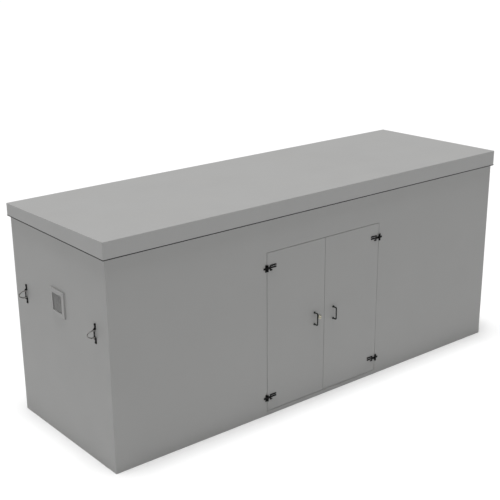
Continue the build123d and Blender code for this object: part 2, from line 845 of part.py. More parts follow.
def engine_block():
    half = block_width / 2
    body = block(block_start, block_end, -half, half, block_bottom, block_top)
    inner = half - block_wall
    body -= block(block_start + 60, block_end - 60, -inner, inner, block_bottom - 1, block_top - 60)
    body -= rod_x(block_start - 1, block_end + 1, 0, shaft_z, shaft_r + running)
    body += rod_x(block_end, block_end + 12, 0, fan_z, 70.0)
    body -= rod_x(block_end - 50, block_end + 13, 0, fan_z, spindle_r + running)
    for s in (-1, 1):
        for x in (block_start + 120, block_end - 160):
            y0, y1 = sorted((s * (half - 5), s * (skid_half_width - 10)))
            body += block(x - 45, x + 45, y0, y1, skid_top, skid_top + 20)
            y0, y1 = sorted((s * (half - 5), s * (half + 40)))
            body += block(x - 45, x + 45, y0, y1, skid_top, block_bottom + 80)
    return body


def cylinder_head():
    half = block_width / 2 - 40
    head = block(block_start + 40, block_end - 40, -half, half, block_top, block_top + head_height)
    z0 = block_top + head_height
    cover = block(block_start + 60, block_end - 60, -half + 50, half - 50, z0, z0 + cover_height)
    cover = fillet(cover.edges().filter_by(Axis.Z), 40.0)
    return head, fillet(cover.faces().sort_by(Axis.Z)[-1].edges(), 20.0)


def oil_sump():
    half = block_width / 2 - 30
    low = block_bottom - sump_height
    sump = block(block_start + 30, block_end - 30, -half, half, low, block_bottom)
    sump = fillet(sump.edges().filter_by(Axis.Z), 30.0)
    inner = half - 6
    return sump - block(block_start + 60, block_end - 60, -inner, inner, low + 6, block_bottom + 1)


def flywheel_housing():
    shell = rod_x(set_x, block_start, 0, shaft_z, flywheel_housing_r)
    shell -= rod_x(set_x - 1, block_start - 20, 0, shaft_z, flywheel_housing_r - 18)
    return shell - rod_x(set_x - 1, block_start + 1, 0, shaft_z, shaft_r + 4)


def crankshaft():
    tail = set_x - alternator_length - 20
    shaft = rod_x(tail, pulley_x + 20, 0, shaft_z, shaft_r)
    wheel_x = set_x + 30
    shaft += rod_x(wheel_x, wheel_x + flywheel_thick, 0, shaft_z, flywheel_r)
    return shaft + pulley(pulley_x, 0.0, shaft_z, crank_pulley_r)


def pulley(x, y, z, radius):
    half = pulley_width / 2
    wheel = rod_x(x - half, x + half, y, z, radius)
    for s in (-1, 1):
        a, b = sorted((x + s * half, x + s * (half + 3)))
        wheel += rod_x(a, b, y, z, radius + 7)
    return wheel


def alternator_housing():
    x0 = set_x - alternator_length
    shell = rod_x(x0, set_x, 0, shaft_z, alternator_r)
    shell -= rod_x(x0 + alternator_wall, set_x + 1, 0, shaft_z, alternator_r - alternator_wall)
    shell -= rod_x(x0 - 1, x0 + alternator_wall + 1, 0, shaft_z, shaft_r + running)
    box_top = shaft_z + alternator_r + 130
    top_box = block(x0 + 60, x0 + 460, -210, 210, shaft_z + alternator_r - 60, box_top)
    shell += top_box - rod_x(x0, set_x, 0, shaft_z, alternator_r - 10)
    for s in (-1, 1):
        y0, y1 = sorted((s * 130, s * (skid_half_width - 10)))
        foot = block(x0 + 90, set_x - 90, y0, y1, skid_top, shaft_z - 120)
        foot -= rod_x(x0, set_x, 0, shaft_z, alternator_r - 10)
        foot -= block(x0 + 80, set_x - 80, s * 190, s * (skid_half_width + 1), skid_top + 25, shaft_z)
        shell += foot
    return shell


def alternator_rotor():
    x0 = set_x - alternator_length / 2 - rotor_length / 2
    core = rod_x(x0, x0 + rotor_length, 0, shaft_z, rotor_r)
    return core - rod_x(x0 - 1, x0 + rotor_length + 1, 0, shaft_z, shaft_r)


def cooling_fan():
    x = block_end + pulley_plane
    fan = pulley(x, 0.0, fan_z, fan_pulley_r)
    blade_x = x + pulley_width / 2 + 20 + fan_depth / 2
    fan += rod_x(x, blade_x + fan_depth / 2, 0, fan_z, fan_hub_r)
    for i in range(fan_blades):
        blank = Box(4.0, fan_chord, fan_r - fan_hub_r + 16)
        blade = Pos(0, 0, (fan_hub_r + fan_r) / 2 - 8) * Rot(0, 0, 35) * blank
        fan += Pos(blade_x, 0, fan_z) * Rot(360.0 / fan_blades * i, 0, 0) * blade
    return fan + rod_x(block_end - 45, x, 0, fan_z, spindle_r)


def charge_alternator():
    back = pulley_x - pulley_width / 2 - 10
    body = rod_x(back - 150, back, charge_y, charge_z, charge_body_r)
    arm = block(back - 120, back - 60, charge_y, -block_width / 2, charge_z - 20, charge_z + 20)
    body += arm
    return body - rod_x(back - 40, back + 1, charge_y, charge_z, 10.0 + running)


def charge_pulley():
    y = charge_y
    return pulley(pulley_x, y, charge_z, charge_pulley_r) + rod_x(pulley_x - 50, pulley_x, y, charge_z, 10.0)


def belt():
    wheels = [
        (0.0, shaft_z, crank_pulley_r),
        (0.0, fan_z, fan_pulley_r),
        (charge_y, charge_z, charge_pulley_r),
    ]
    loops = []
    for grow in (belt_clear + belt_thick, belt_clear):
        circles = [edge for y, z, r in wheels for edge in (Pos(y, z) * Circle(r + grow)).edges()]
        loops.append(make_hull(circles))
    ring = Plane.YZ * (loops[0] - loops[1])
    width = pulley_width - 2.0
    return Pos(pulley_x - width / 2, 0, 0) * extrude(ring, amount=width, dir=(1, 0, 0))


def exhaust_manifold():
    y = block_width / 2 - 40
    z = block_top + head_height * 0.55
    parts = [rod_x(block_start + 110, block_end - 150, y + 85, z, 42.0)]
    runners = 4
    pitch = (block_length - 320) / (runners - 1)
    for i in range(runners):
        parts.append(rod_y_axis(y, y + 85, block_start + 140 + i * pitch, z, 28.0))
    parts.append(rod_z(z, z + 95, riser_x(), y + 85, pipe_r + 12))
    return joined(parts)


def riser_x():
    return block_start + 240.0


def silencer_x():
    return riser_x() + silencer_length / 2


def air_filter():
    y = -block_width / 2 - 30
    z = block_top + head_height + 130
    can = rod_x(block_start + 150, block_start + 560, y, z, 105.0)
    can += rod_x(block_start + 120, block_start + 150, y, z, 80.0)
    x0 = block_start + 300
    bracket = block(x0, x0 + 60, -block_width / 2 + 5, -block_width / 2 + 30, block_top, z - 60)
    return can + bracket


def silencer():
    x0 = silencer_x() - silencer_length / 2
    can = rod_x(x0, x0 + silencer_length, silencer_y, silencer_z, silencer_r)
    can = fillet(can.edges(), 25.0)
    inside = rod_x(x0 + 5, x0 + silencer_length - 5, silencer_y, silencer_z, silencer_r - 4)
    can -= fillet(inside.edges(), 21.0)
    hangers = []
    low = silencer_z + silencer_r - 6
    for x in (x0 + 150, x0 + silencer_length - 150):
        hangers.append(block(x - 15, x + 15, silencer_y - 20, silencer_y + 20, low, wall_top))
    return joined([can] + hangers)


def exhaust_pipes():
    z0 = block_top + head_height * 0.55 + 95
    y0 = block_width / 2 - 40 + 85
    riser_line = FilletPolyline(
        (riser_x(), y0, z0), (riser_x(), y0, z0 + 200), (riser_x(), silencer_y, z0 + 420),
        (riser_x(), silencer_y, silencer_z - silencer_r - 1), radius=110.0
    )
    ring = Circle(pipe_r) - Circle(pipe_r - pipe_wall)
    riser = sweep(Plane(origin=(riser_x(), y0, z0), z_dir=(0, 0, 1)) * ring, path=riser_line)
    tail_x = silencer_x() + silencer_length / 2 - pipe_r * 2
    tail = rod_y_axis(silencer_y + silencer_r + 1, rear + tail_reach, tail_x, silencer_z, pipe_r)
    tail += rod_y_axis(rear, rear + tail_collar, tail_x, silencer_z, pipe_r + 35)
    tail -= rod_y_axis(silencer_y, rear + tail_reach + 1, tail_x, silencer_z, pipe_r - pipe_wall)
    return riser, tail


def radiator_core():
    outer = radiator_width / 2
    half = outer - 30
    x0, x1 = radiator_x, radiator_x + radiator_thick
    low, high = skid_top + header_tank, skid_top + radiator_height - header_tank
    core = block(x0, x1, -half, half, low, high)
    surround = block(x0 - 10, x1, -outer, outer, skid_top, low)
    surround += block(x0 - 10, x1, -outer, outer, high, skid_top + radiator_height)
    for s in (-1, 1):
        surround += block(x0, x1, s * half, s * outer, low, high)
    return core, surround


def fan_shroud():
    """Sheet box that narrows to a ring round the fan, with a wire guard behind."""
    x1 = radiator_x
    x0 = x1 - 60
    half = radiator_width / 2
    plate = block(x0, x0 + 3, -half + 30, half - 30, skid_top + 92, skid_top + radiator_height - 92)
    rim = block(x0, x1, -half + 30, half - 30, skid_top + 92, skid_top + radiator_height - 92)
    rim -= block(x0 - 1, x1 + 1, -half + 33, half - 33, skid_top + 95, skid_top + radiator_height - 95)
    ring = rod_x(x0 - 40, x0 + 3, 0, fan_z, fan_r + 22)
    shroud = plate + rim + ring
    return shroud - rod_x(x0 - 41, x0 + 4, 0, fan_z, fan_r + 18)


# ================= tank, battery, controls =================
def fuel_tank():
    x0, x1 = tank_x - tank_length / 2, tank_x + tank_length / 2
    y1 = inner_rear - 60
    y0 = y1 - tank_width
    z0 = deck_thick + tank_legs
    z1 = z0 + tank_height
    tank = fillet(block(x0, x1, y0, y1, z0, z1).edges().filter_by(Axis.Z), 40.0)
    w = tank_wall
    tank -= fillet(block(x0 + w, x1 - w, y0 + w, y1 - w, z0 + w, z1 - w).edges().filter_by(Axis.Z), 37.0)
    for x in (x0 + 80, x1 - 80):
        for y in (y0 + 80, y1 - 80):
            tank += block(x - 25, x + 25, y - 25, y + 25, deck_thick, z0 + 1)
    fx, fy = tank_x, y0 + 150
    tank += rod_z(z1 - 1, z1 + 60, fx, fy, filler_r)
    tank -= rod_z(z1 - 10, z1 + 61, fx, fy, filler_r - 5)
    hinge_y = fy - filler_r - 12
    for s in (-1, 1):
        a, b = sorted((fx + s * 12, fx + s * 20))
        tank += block(a, b, hinge_y - 6, fy - filler_r + 2, z1 + 30, z1 + 59)
        tank += rod_x(a, b, hinge_y, z1 + 60, 6.0)
    return tank + rod_x(fx - 20, fx + 20, hinge_y, z1 + 60, 3.0)


def filler_place():
    y0 = inner_rear - 60 - tank_width
    return tank_x, y0 + 150, deck_thick + tank_legs + tank_height + 60


def filler_cap():
    fx, fy, z = filler_place()
    cap = rod_z(z + 0.4, z + 12.4, fx, fy, filler_r + 4)
    cap = fillet(cap.edges().sort_by(Axis.Z)[-1], 4.0)
    hinge_y = fy - filler_r - 12
    cap += block(fx - 11.5, fx + 11.5, hinge_y, fy - filler_r + 4, z + 0.4, z + 6.0)
    cap += rod_x(fx - 11.5, fx + 11.5, hinge_y, z, 6.0)
    return cap - rod_x(fx - 13, fx + 13, hinge_y, z, 3.0 + running)


def battery():
    x0 = set_x - 420
    y0 = -skid_half_width - 20 - battery_width
    tray = block(x0 - 15, x0 + battery_length + 15, y0 - 15, -skid_half_width, deck_thick, deck_thick + 6)
    top = deck_thick + 6 + battery_height
    case = block(x0, x0 + battery_length, y0, y0 + battery_width, deck_thick + 6, top)
    case = fillet(case.edges().filter_by(Axis.Z), 8.0)
    for x in (x0 + 45, x0 + battery_length - 45):
        case += rod_z(top - 1, top + 20, x, y0 + battery_width / 2, 9.0)
    return tray, case


def cabinet_box():
    x0, x1 = cabinet_x - cabinet_width / 2, cabinet_x + cabinet_width / 2
    y1 = inner_rear - 2.0
    return x0, x1, y1 - cabinet_depth, y1, deck_thick, deck_thick + cabinet_height


def control_cabinet():
    x0, x1, y0, y1, z0, z1 = cabinet_box()
    w = cabinet_sheet
    shell = block(x0, x1, y0, y1, z0, z1)
    shell -= block(x0 + w, x1 - w, y0 - 1, y1 - w, z0 + 100, z1 - w)
    shell -= block(x0 + w, x1 - w, y0 + w, y1 - w, z0 - 1, z0 + 100 - w)
    for z in (z0 + 250, z1 - 150):
        for a, b in ((z - 30, z - 12.5), (z + 12.5, z + 30)):
            shell += rod_z(a, b, x0 - 9, y0 - 9, 7.0)
            shell += block(x0 - 9, x0 + 1, y0 - 9, y0 + 4, a, b)
        shell += rod_z(z - 12.5, z + 12.5, x0 - 9, y0 - 9, 3.0)
    return shell


def switchgear():
    """Mounting plate with breaker and contactor blocks inside the cabinet."""
    x0, x1, y0, y1, z0, z1 = cabinet_box()
    back = y1 - cabinet_sheet
    plate = block(x0 + 40, x1 - 40, back - 15, back, z0 + 180, z1 - 80)
    for row, z in enumerate((z0 + 320, z0 + 640, z0 + 940)):
        depth = (130, 110, 90)[row]
        for i in range(3):
            x = x0 + 90 + i * 155
            plate += block(x, x + 130, back - 15 - depth, back - 15, z, z + 190)
    return plate


def cabinet_door():
    x0, x1, y0, y1, z0, z1 = cabinet_box()
    c = cabinet_door_clear
    bottom = z0 + 100
    door = block(x0 + c, x1 - c, y0 - 18, y0 - c, bottom + c, z1 - c)
    door -= block(x0 + c + 2, x1 - c - 2, y0 - 16, y0, bottom + c + 2, z1 - c - 2)
    for z in (z0 + 250, z1 - 150):
        door += rod_z(z - 12, z + 12, x0 - 9, y0 - 9, 7.0)
        door += block(x0 - 9, x0 + c + 2, y0 - 16, y0 - 9, z - 12, z + 12)
        door -= rod_z(z - 13, z + 13, x0 - 9, y0 - 9, 3.0 + running)
    door -= rod_y_axis(y0 - 30, y0, cabinet_x + 200, control_z(), 8.3)
    return door


def control_z():
    return deck_thick + cabinet_height - 330.0


def control_panel():
    """Display module and pilot lamps set on the cabinet door."""
    x0, x1, y0, y1, z0, z1 = cabinet_box()
    z = control_z()
    face = y0 - 18
    panel = block(cabinet_x - 170, cabinet_x + 110, face - 8, face, z - 90, z + 90)
    panel = fillet(panel.edges().filter_by(Axis.Y), 10.0)
    panel -= block(cabinet_x - 140, cabinet_x + 20, face - 9, face - 5, z - 20, z + 65)
    for i in range(4):
        panel += rod_y_axis(face - 12, face - 7, cabinet_x - 125 + i * 45, z - 55, 9.0)
    return panel


def stop_button():
    x0, x1, y0, y1, z0, z1 = cabinet_box()
    face = y0 - 18
    x = cabinet_x + 200
    head = rod_y_axis(face - 30, face - 14, x, control_z(), stop_button_r)
    head = fillet(head.edges().sort_by(Axis.Y)[0], 6.0)
    return head + rod_y_axis(face - 15, face + 6 + stop_travel, x, control_z(), 8.0)


def hinge_heights():
    return (hinge_bottom_z, hinge_top_z)


def housing_nodes():
    left, right, header = front_panels()
    discharge, inlet = louvres()
    write("floor_deck", floor_deck())
    write("door_threshold", door_threshold())
    write("front_left_panel", left)
    write("front_right_panel", right)
    write("front_header_panel", header)
    write("rear_wall", rear_wall())
    write("left_end_wall", end_wall_left())
    write("right_end_wall", end_wall_right())
    write("roof_cap", roof_cap())
    write("roof_joists", *roof_joists())
    write("wall_lining", *wall_lining())
    write("door_frame", *door_frame())
    write("door_seal", door_seal())
    write("air_louvres", discharge, inlet)
    write("discharge_duct", discharge_duct())
    write("vent_frame", vent_frame())
    write("vent_grille", vent_grille())
    brackets = [strap_bracket(y) for y in (-strap_y, strap_y)]
    write("strap_brackets", *brackets, *strap_bolts())
    write("front_ring", lift_ring(-strap_y))
    write("rear_ring", lift_ring(strap_y))


def door_nodes():
    left_rods = [
        (lock_x + rod_shift, lock_z, leaf_top + 1),
        (lock_x - rod_shift, leaf_bottom - 1, lock_z),
    ]
    right_rods = [(-lock_x, leaf_top - 400.0, leaf_top + 1)]
    plates = [hinge_frame_plate(side, z) for side in (-1, 1) for z in hinge_heights()]
    pins = [hinge_pin(side, z) for side in (-1, 1) for z in hinge_heights()]
    write("hinge_frame_plates", *plates, *pins)
    hole_r = lock_spindle_r + lock_hole_clear
    spindle_hole = rod_y_axis(front - 1, front + leaf_skin + 1, lock_x, lock_z, hole_r)
    write("left_door_leaf", door_leaf(-1, left_rods) - spindle_hole)
    write("left_door_lining", *door_lining(-1))
    write("left_hinge_arms", *[hinge_arm(-1, z) for z in hinge_heights()])
    write("left_pull_handle", pull_handle(handle_left_x))
    write("lock_case", *lock_case())
    write("lock_knob", lock_knob())
    write("left_top_bolt", shoot_bolt(1))
    write("left_bottom_bolt", shoot_bolt(-1))
    write("right_door_leaf", joined([door_leaf(1, right_rods)] + right_bolt_guides()))
    write("right_door_lining", *door_lining(1))
    write("right_hinge_arms", *[hinge_arm(1, z) for z in hinge_heights()])
    write("right_pull_handle", pull_handle(handle_right_x))
    write("right_top_bolt", right_bolt())


def generator_nodes():
    head, cover = cylinder_head()
    write("skid_frame", skid_frame())
    write("vibration_mounts", *vibration_mounts())
    write("engine_block", engine_block())
    write("cylinder_head", head, cover)
    write("oil_sump", oil_sump())
    write("flywheel_housing", flywheel_housing())
    write("exhaust_manifold", exhaust_manifold())
    write("air_filter", air_filter())
    write("silencer", silencer())
    write("exhaust_pipes", *exhaust_pipes())
    write("alternator_housing", alternator_housing())
    write("crankshaft", crankshaft(), alternator_rotor())
    write("cooling_fan", cooling_fan())
    write("charge_alternator", charge_alternator())
    write("charge_pulley", charge_pulley())
    write("fan_belt", belt())
    write("radiator", *radiator_core())
    write("fan_shroud", fan_shroud())


def control_nodes():
    write("fuel_tank", fuel_tank())
    write("filler_cap", filler_cap())
    write("battery", *battery())
    write("control_cabinet", control_cabinet())
    write("switchgear", switchgear())
    write("cabinet_door", cabinet_door())
    write("control_panel", control_panel())
    write("stop_button", stop_button())


os.makedirs("parts", exist_ok=True)
housing_nodes()
door_nodes()
generator_nodes()
control_nodes()
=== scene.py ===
import json
import math

import bmesh
import bpy
from mathutils import Matrix, Vector


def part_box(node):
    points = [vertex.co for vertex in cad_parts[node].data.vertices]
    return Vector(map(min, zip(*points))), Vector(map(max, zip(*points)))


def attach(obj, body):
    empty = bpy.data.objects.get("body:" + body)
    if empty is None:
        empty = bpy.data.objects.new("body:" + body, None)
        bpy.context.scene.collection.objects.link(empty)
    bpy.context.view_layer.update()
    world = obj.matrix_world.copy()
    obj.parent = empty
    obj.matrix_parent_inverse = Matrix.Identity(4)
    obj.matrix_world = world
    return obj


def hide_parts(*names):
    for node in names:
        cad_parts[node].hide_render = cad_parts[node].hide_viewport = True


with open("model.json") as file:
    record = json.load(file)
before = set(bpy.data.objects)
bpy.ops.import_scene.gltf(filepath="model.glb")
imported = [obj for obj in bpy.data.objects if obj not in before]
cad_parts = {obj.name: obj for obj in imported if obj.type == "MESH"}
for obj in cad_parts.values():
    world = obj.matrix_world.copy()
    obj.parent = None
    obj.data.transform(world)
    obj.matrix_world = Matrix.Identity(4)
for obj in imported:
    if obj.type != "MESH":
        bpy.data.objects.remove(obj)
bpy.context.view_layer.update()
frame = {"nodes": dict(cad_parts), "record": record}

# Looks of a walk-in generator housing and its generating set. Metres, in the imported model's frame.
record = frame["record"]
node = frame["nodes"]
node_body = {name: body for body, names in record["behaviour"]["bodies"].items() for name in names}
node_slot = {part["node"]: part["material_slot"] for part in record["subparts"]}
joint_at = {joint["name"]: joint.get("pos_m") for joint in record["behaviour"]["joints"]}
ENCLOSURE = "enclosure"

# ---------------- camera, light and floor ----------------
EYE = (-8.0156, -9.5672, 5.8502)
AIM = (0.60279, 0.72232, -0.33895)
SIDE = (0.76756, -0.64098, -0.00092)
LENS = 75.215
SENSOR = 36.0
SHIFT_X = -0.0375
SHIFT_Y = 0.0401
SKY_STRENGTH = 0.125
TOP_LIGHT = ((0.05, 0.02, -1.0), 3.25, 20.0)
LEFT_LIGHT = ((1.0, 0.10, -0.35), 0.09, 60.0)
FLOOR_HALF = 200.0
FLOOR_GREY = 0.93


def make_camera():
    data = bpy.data.cameras.new("camera")
    data.lens = LENS
    data.sensor_width = SENSOR
    data.shift_x = SHIFT_X
    data.shift_y = SHIFT_Y
    data.clip_end = 500.0
    camera = bpy.data.objects.new("camera", data)
    bpy.context.scene.collection.objects.link(camera)
    forward = Vector(AIM).normalized()
    right = Vector(SIDE).normalized()
    up = right.cross(forward)
    turn = Matrix((right, up, -forward)).transposed().to_4x4()
    camera.matrix_world = Matrix.Translation(EYE) @ turn
    bpy.context.scene.camera = camera


def make_light():
    scene = bpy.context.scene
    scene.view_settings.view_transform = "Standard"
    world = bpy.data.worlds.new("studio")
    scene.world = world
    world.use_nodes = True
    sky = world.node_tree.nodes["Background"]
    sky.inputs["Color"].default_value = (1.0, 1.0, 1.0, 1.0)
    seen = add(world.node_tree, "LightPath").outputs["Is Camera Ray"]
    world.node_tree.links.new(maths(world.node_tree, "ADD", seen, SKY_STRENGTH), sky.inputs["Strength"])
    for name, (direction, power, spread) in (("top_light", TOP_LIGHT), ("left_light", LEFT_LIGHT)):
        data = bpy.data.lights.new(name, "SUN")
        data.energy = power
        data.angle = math.radians(spread)
        lamp = bpy.data.objects.new(name, data)
        scene.collection.objects.link(lamp)
        lamp.rotation_mode = "QUATERNION"
        lamp.rotation_quaternion = Vector(direction).to_track_quat("-Z", "Y")


def make_floor():
    bm = bmesh.new()
    bmesh.ops.create_grid(bm, x_segments=1, y_segments=1, size=FLOOR_HALF)
    mesh = bpy.data.meshes.new("floor")
    bm.to_mesh(mesh)
    bm.free()
    floor = bpy.data.objects.new("floor", mesh)
    bpy.context.scene.collection.objects.link(floor)
    paper = bpy.data.materials.new("floor_paper")
    paper.use_nodes = True
    shader = paper.node_tree.nodes["Principled BSDF"]
    shader.inputs["Base Color"].default_value = (FLOOR_GREY, FLOOR_GREY, FLOOR_GREY, 1.0)
    shader.inputs["Roughness"].default_value = 0.9
    mesh.materials.append(paper)


# ---------------- effects that several finishes share ----------------
def add(tree, kind, values=None, **settings):
    """Adds a shader node, sets its properties, and fills its sockets with numbers or links."""
    made = tree.nodes.new("ShaderNode" + kind)
    for key, value in settings.items():
        setattr(made, key, value)
    for socket, value in (values or {}).items():
        if isinstance(value, bpy.types.NodeSocket):
            tree.links.new(value, made.inputs[socket])
        else:
            made.inputs[socket].default_value = value
    return made


def maths(tree, operation, first, second, clamp=False):
    made = add(tree, "Math", {0: first, 1: second}, operation=operation, use_clamp=clamp)
    return made.outputs[0]


def new_group(name, output, **inputs):
    """An empty effect: a position, named numbers or vectors in, and one value out."""
    tree = bpy.data.node_groups.new(name, "ShaderNodeTree")
    tree.interface.new_socket("Position", in_out="INPUT", socket_type="NodeSocketVector")
    for label, value in inputs.items():
        kind = "NodeSocketVector" if isinstance(value, tuple) else "NodeSocketFloat"
        tree.interface.new_socket(label, in_out="INPUT", socket_type=kind).default_value = value
    tree.interface.new_socket(output, in_out="OUTPUT", socket_type="NodeSocketFloat")
    return tree, tree.nodes.new("NodeGroupInput").outputs, tree.nodes.new("NodeGroupOutput").inputs[0]


def grain_effect():
    """Soft noise, drawn out along a direction by Stretch, for mottling, brushing, runs and casting skin."""
    tree, given, out = new_group("grain", "Value", Stretch=(1.0, 1.0, 1.0), Scale=10.0, Contrast=1.0)
    drawn = add(tree, "VectorMath", {0: given["Position"], 1: given["Stretch"]}, operation="MULTIPLY")
    noise = add(tree, "TexNoise", {"Vector": drawn.outputs[0], "Scale": given["Scale"], "Detail": 4.0})
    centred = maths(tree, "SUBTRACT", noise.outputs["Fac"], 0.5)
    pulled = maths(tree, "MULTIPLY", centred, given["Contrast"])
    tree.links.new(maths(tree, "ADD", pulled, 0.5, clamp=True), out)
    return tree


def edge_wear_effect():
    """Mask of rubbed edges: where a rounded normal leaves the face's own, broken up by noise."""
    tree, given, out = new_group("edge_wear", "Mask", Width=0.002, Scale=60.0, Amount=1.0)
    rounded = add(tree, "Bevel", {"Radius": given["Width"]}, samples=6)
    surface = add(tree, "NewGeometry")
    both = {0: rounded.outputs[0], 1: surface.outputs["Normal"]}
    same = add(tree, "VectorMath", both, operation="DOT_PRODUCT").outputs["Value"]
    edge = maths(tree, "MULTIPLY", maths(tree, "SUBTRACT", 1.0, same), 9.0, clamp=True)
    noise = add(tree, "TexNoise", {"Vector": given["Position"], "Scale": given["Scale"], "Detail": 5.0})
    broken = add(tree, "MapRange", {0: noise.outputs["Fac"], 1: 0.42, 2: 0.62}).outputs[0]
    tree.links.new(maths(tree, "MULTIPLY", maths(tree, "MULTIPLY", edge, broken), given["Amount"]), out)
    return tree


def dust_effect():
    """Mask of settled dust: upward faces, thinned by noise."""
    tree, given, out = new_group("dust", "Mask", Scale=6.0, Amount=0.5)
    surface = add(tree, "NewGeometry")
    upward = add(tree, "SeparateXYZ", {0: surface.outputs["Normal"]}).outputs["Z"]
    flat = add(tree, "MapRange", {0: upward, 1: 0.55, 2: 1.0}).outputs[0]
    noise = add(tree, "TexNoise", {"Vector": given["Position"], "Scale": given["Scale"], "Detail": 6.0})
    patchy = add(tree, "MapRange", {0: noise.outputs["Fac"], 1: 0.3, 2: 0.7}).outputs[0]
    tree.links.new(maths(tree, "MULTIPLY", maths(tree, "MULTIPLY", flat, patchy), given["Amount"]), out)
    return tree


def dots_effect():
    """Mask of round holes on a square pitch, on any upright wall."""
    tree, given, out = new_group("dots", "Mask", Pitch=0.012, Size=0.3)
    split = add(tree, "SeparateXYZ", {0: given["Position"]}).outputs
    across = maths(tree, "ADD", split["X"], split["Y"])
    squares = []
    for run in (across, split["Z"]):
        cell = maths(tree, "FRACT", maths(tree, "DIVIDE", run, given["Pitch"]), 0.0)
        off = maths(tree, "SUBTRACT", cell, 0.5)
        squares.append(maths(tree, "MULTIPLY", off, off))
    reach = maths(tree, "SQRT", maths(tree, "ADD", squares[0], squares[1]), 0.0)
    tree.links.new(maths(tree, "LESS_THAN", reach, given["Size"]), out)
    return tree


effects = {
    "grain": grain_effect(),
    "edge_wear": edge_wear_effect(),
    "dust": dust_effect(),
    "dots": dots_effect(),
}


class Finish:
    """One material: a Principled shader, with helpers that wire the shared effects into it."""

    def __init__(self, name, colour, roughness, metallic=0.0, **constants):
        self.material = bpy.data.materials.new(name)
        self.material.use_nodes = True
        self.tree = self.material.node_tree
        self.shader = self.tree.nodes["Principled BSDF"]
        self.colour = (*colour, 1.0)
        self.base = self.colour
        self.shader.inputs["Base Color"].default_value = self.colour
        self.shader.inputs["Roughness"].default_value = roughness
        self.shader.inputs["Metallic"].default_value = metallic
        for socket, value in constants.items():
            self.shader.inputs[socket.replace("_", " ")].default_value = value
        self.place = add(self.tree, "TexCoord").outputs["Object"]
        self.normal = None

    def effect(self, kind, **values):
        made = self.tree.nodes.new("ShaderNodeGroup")
        made.node_tree = effects[kind]
        self.tree.links.new(self.place, made.inputs["Position"])
        for label, value in values.items():
            made.inputs[label].default_value = value
        return made.outputs[0]

    def paint(self, mask, colour):
        """Covers the colour so far with another one where the mask is white."""
        mix = add(self.tree, "Mix", data_type="RGBA")
        self.tree.links.new(mask, mix.inputs[0])
        for socket, value in ((mix.inputs[6], self.base), (mix.inputs[7], (*colour, 1.0))):
            if isinstance(value, bpy.types.NodeSocket):
                self.tree.links.new(value, socket)
            else:
                socket.default_value = value
        self.base = mix.outputs[2]
        self.tree.links.new(self.base, self.shader.inputs["Base Color"])
        return self

    def mottle(self, value, spread):
        """Lets the colour drift darker and lighter with a value from 0 to 1."""
        dark, light = (tuple(c * (1.0 + s * spread) for c in self.colour[:3]) for s in (-1.0, 1.0))
        self.base = (*dark, 1.0)
        return self.paint(value, light)

    def gloss(self, value, least, most):
        span = add(self.tree, "MapRange", {0: value, 3: least, 4: most})
        self.tree.links.new(span.outputs[0], self.shader.inputs["Roughness"])
        return self

    def metal_where(self, mask):
        self.tree.links.new(mask, self.shader.inputs["Metallic"])
        return self

    def relief(self, height, depth, strength=1.0):
        bump = add(self.tree, "Bump", {"Height": height, "Distance": depth, "Strength": strength})
        if self.normal is not None:
            self.tree.links.new(self.normal, bump.inputs["Normal"])
        self.normal = bump.outputs[0]
        self.tree.links.new(self.normal, self.shader.inputs["Normal"])
        return self


# ---------------- finishes ----------------
DUST_BROWN = (0.34, 0.31, 0.27)
BARE_STEEL = (0.45, 0.44, 0.42)


def gelcoat(name, colour):
    """Moulded wall skin: faint drift of colour, orange peel and slight runs."""
    coat = Finish(name, colour, 0.5, Specular_IOR_Level=0.3)
    coat.mottle(coat.effect("grain", Scale=1.3, Contrast=1.4), 0.018)
    coat.paint(coat.effect("dust", Scale=2.5, Amount=0.05), DUST_BROWN)
    coat.gloss(coat.effect("grain", Scale=3.0, Contrast=1.6), 0.46, 0.58)
    coat.relief(coat.effect("grain", Scale=220.0), 0.0004, 0.35)
    return coat.relief(coat.effect("grain", Scale=5.0), 0.004, 0.12).material


def enamel(name, colour, roughness, wear=0.5, peel=0.0003, coat=0.0, dust=0.12, shine=0.5):
    """Sprayed paint on steel or iron: orange peel, drift of tone, rubbed edges and dust."""
    made = Finish(name, colour, roughness, Coat_Weight=coat, Specular_IOR_Level=shine)
    made.mottle(made.effect("grain", Scale=9.0, Contrast=1.5), 0.10)
    rubbed = made.effect("edge_wear", Width=0.0022, Scale=90.0, Amount=wear)
    made.paint(rubbed, BARE_STEEL).metal_where(rubbed)
    made.paint(made.effect("dust", Scale=7.0, Amount=dust), DUST_BROWN)
    made.gloss(made.effect("grain", Scale=30.0, Contrast=1.5), roughness * 0.8, min(1.0, roughness * 1.25))
    return made.relief(made.effect("grain", Scale=320.0), peel, 0.5).material


def worked_metal(name, colour, roughness, stretch=(1.0, 1.0, 12.0), drift=0.12, stain=None):
    """Bare or plated metal, brushed or drawn along one way."""
    made = Finish(name, colour, roughness, metallic=1.0)
    made.mottle(made.effect("grain", Scale=14.0, Contrast=1.5), drift)
    if stain:
        made.paint(made.effect("grain", Scale=5.0, Contrast=3.0), stain)
    brushed = made.effect("grain", Stretch=stretch, Scale=120.0, Contrast=1.6)
    made.gloss(brushed, roughness * 0.75, min(1.0, roughness * 1.3))
    return made.relief(brushed, 0.0002, 0.35).material


def cast(name, colour, roughness, metallic, stain, dust=0.2):
    """Rough casting skin with stains and settled dust."""
    made = Finish(name, colour, roughness, metallic)
    made.mottle(made.effect("grain", Scale=22.0, Contrast=2.0), 0.16)
    made.paint(made.effect("grain", Scale=4.0, Contrast=3.5), stain)
    made.paint(made.effect("dust", Scale=6.0, Amount=dust), DUST_BROWN)
    made.gloss(made.effect("grain", Scale=40.0, Contrast=1.6), roughness * 0.8, min(1.0, roughness * 1.2))
    made.relief(made.effect("grain", Scale=260.0, Contrast=1.5), 0.0008, 0.6)
    return made.relief(made.effect("grain", Scale=35.0), 0.0015, 0.3).material


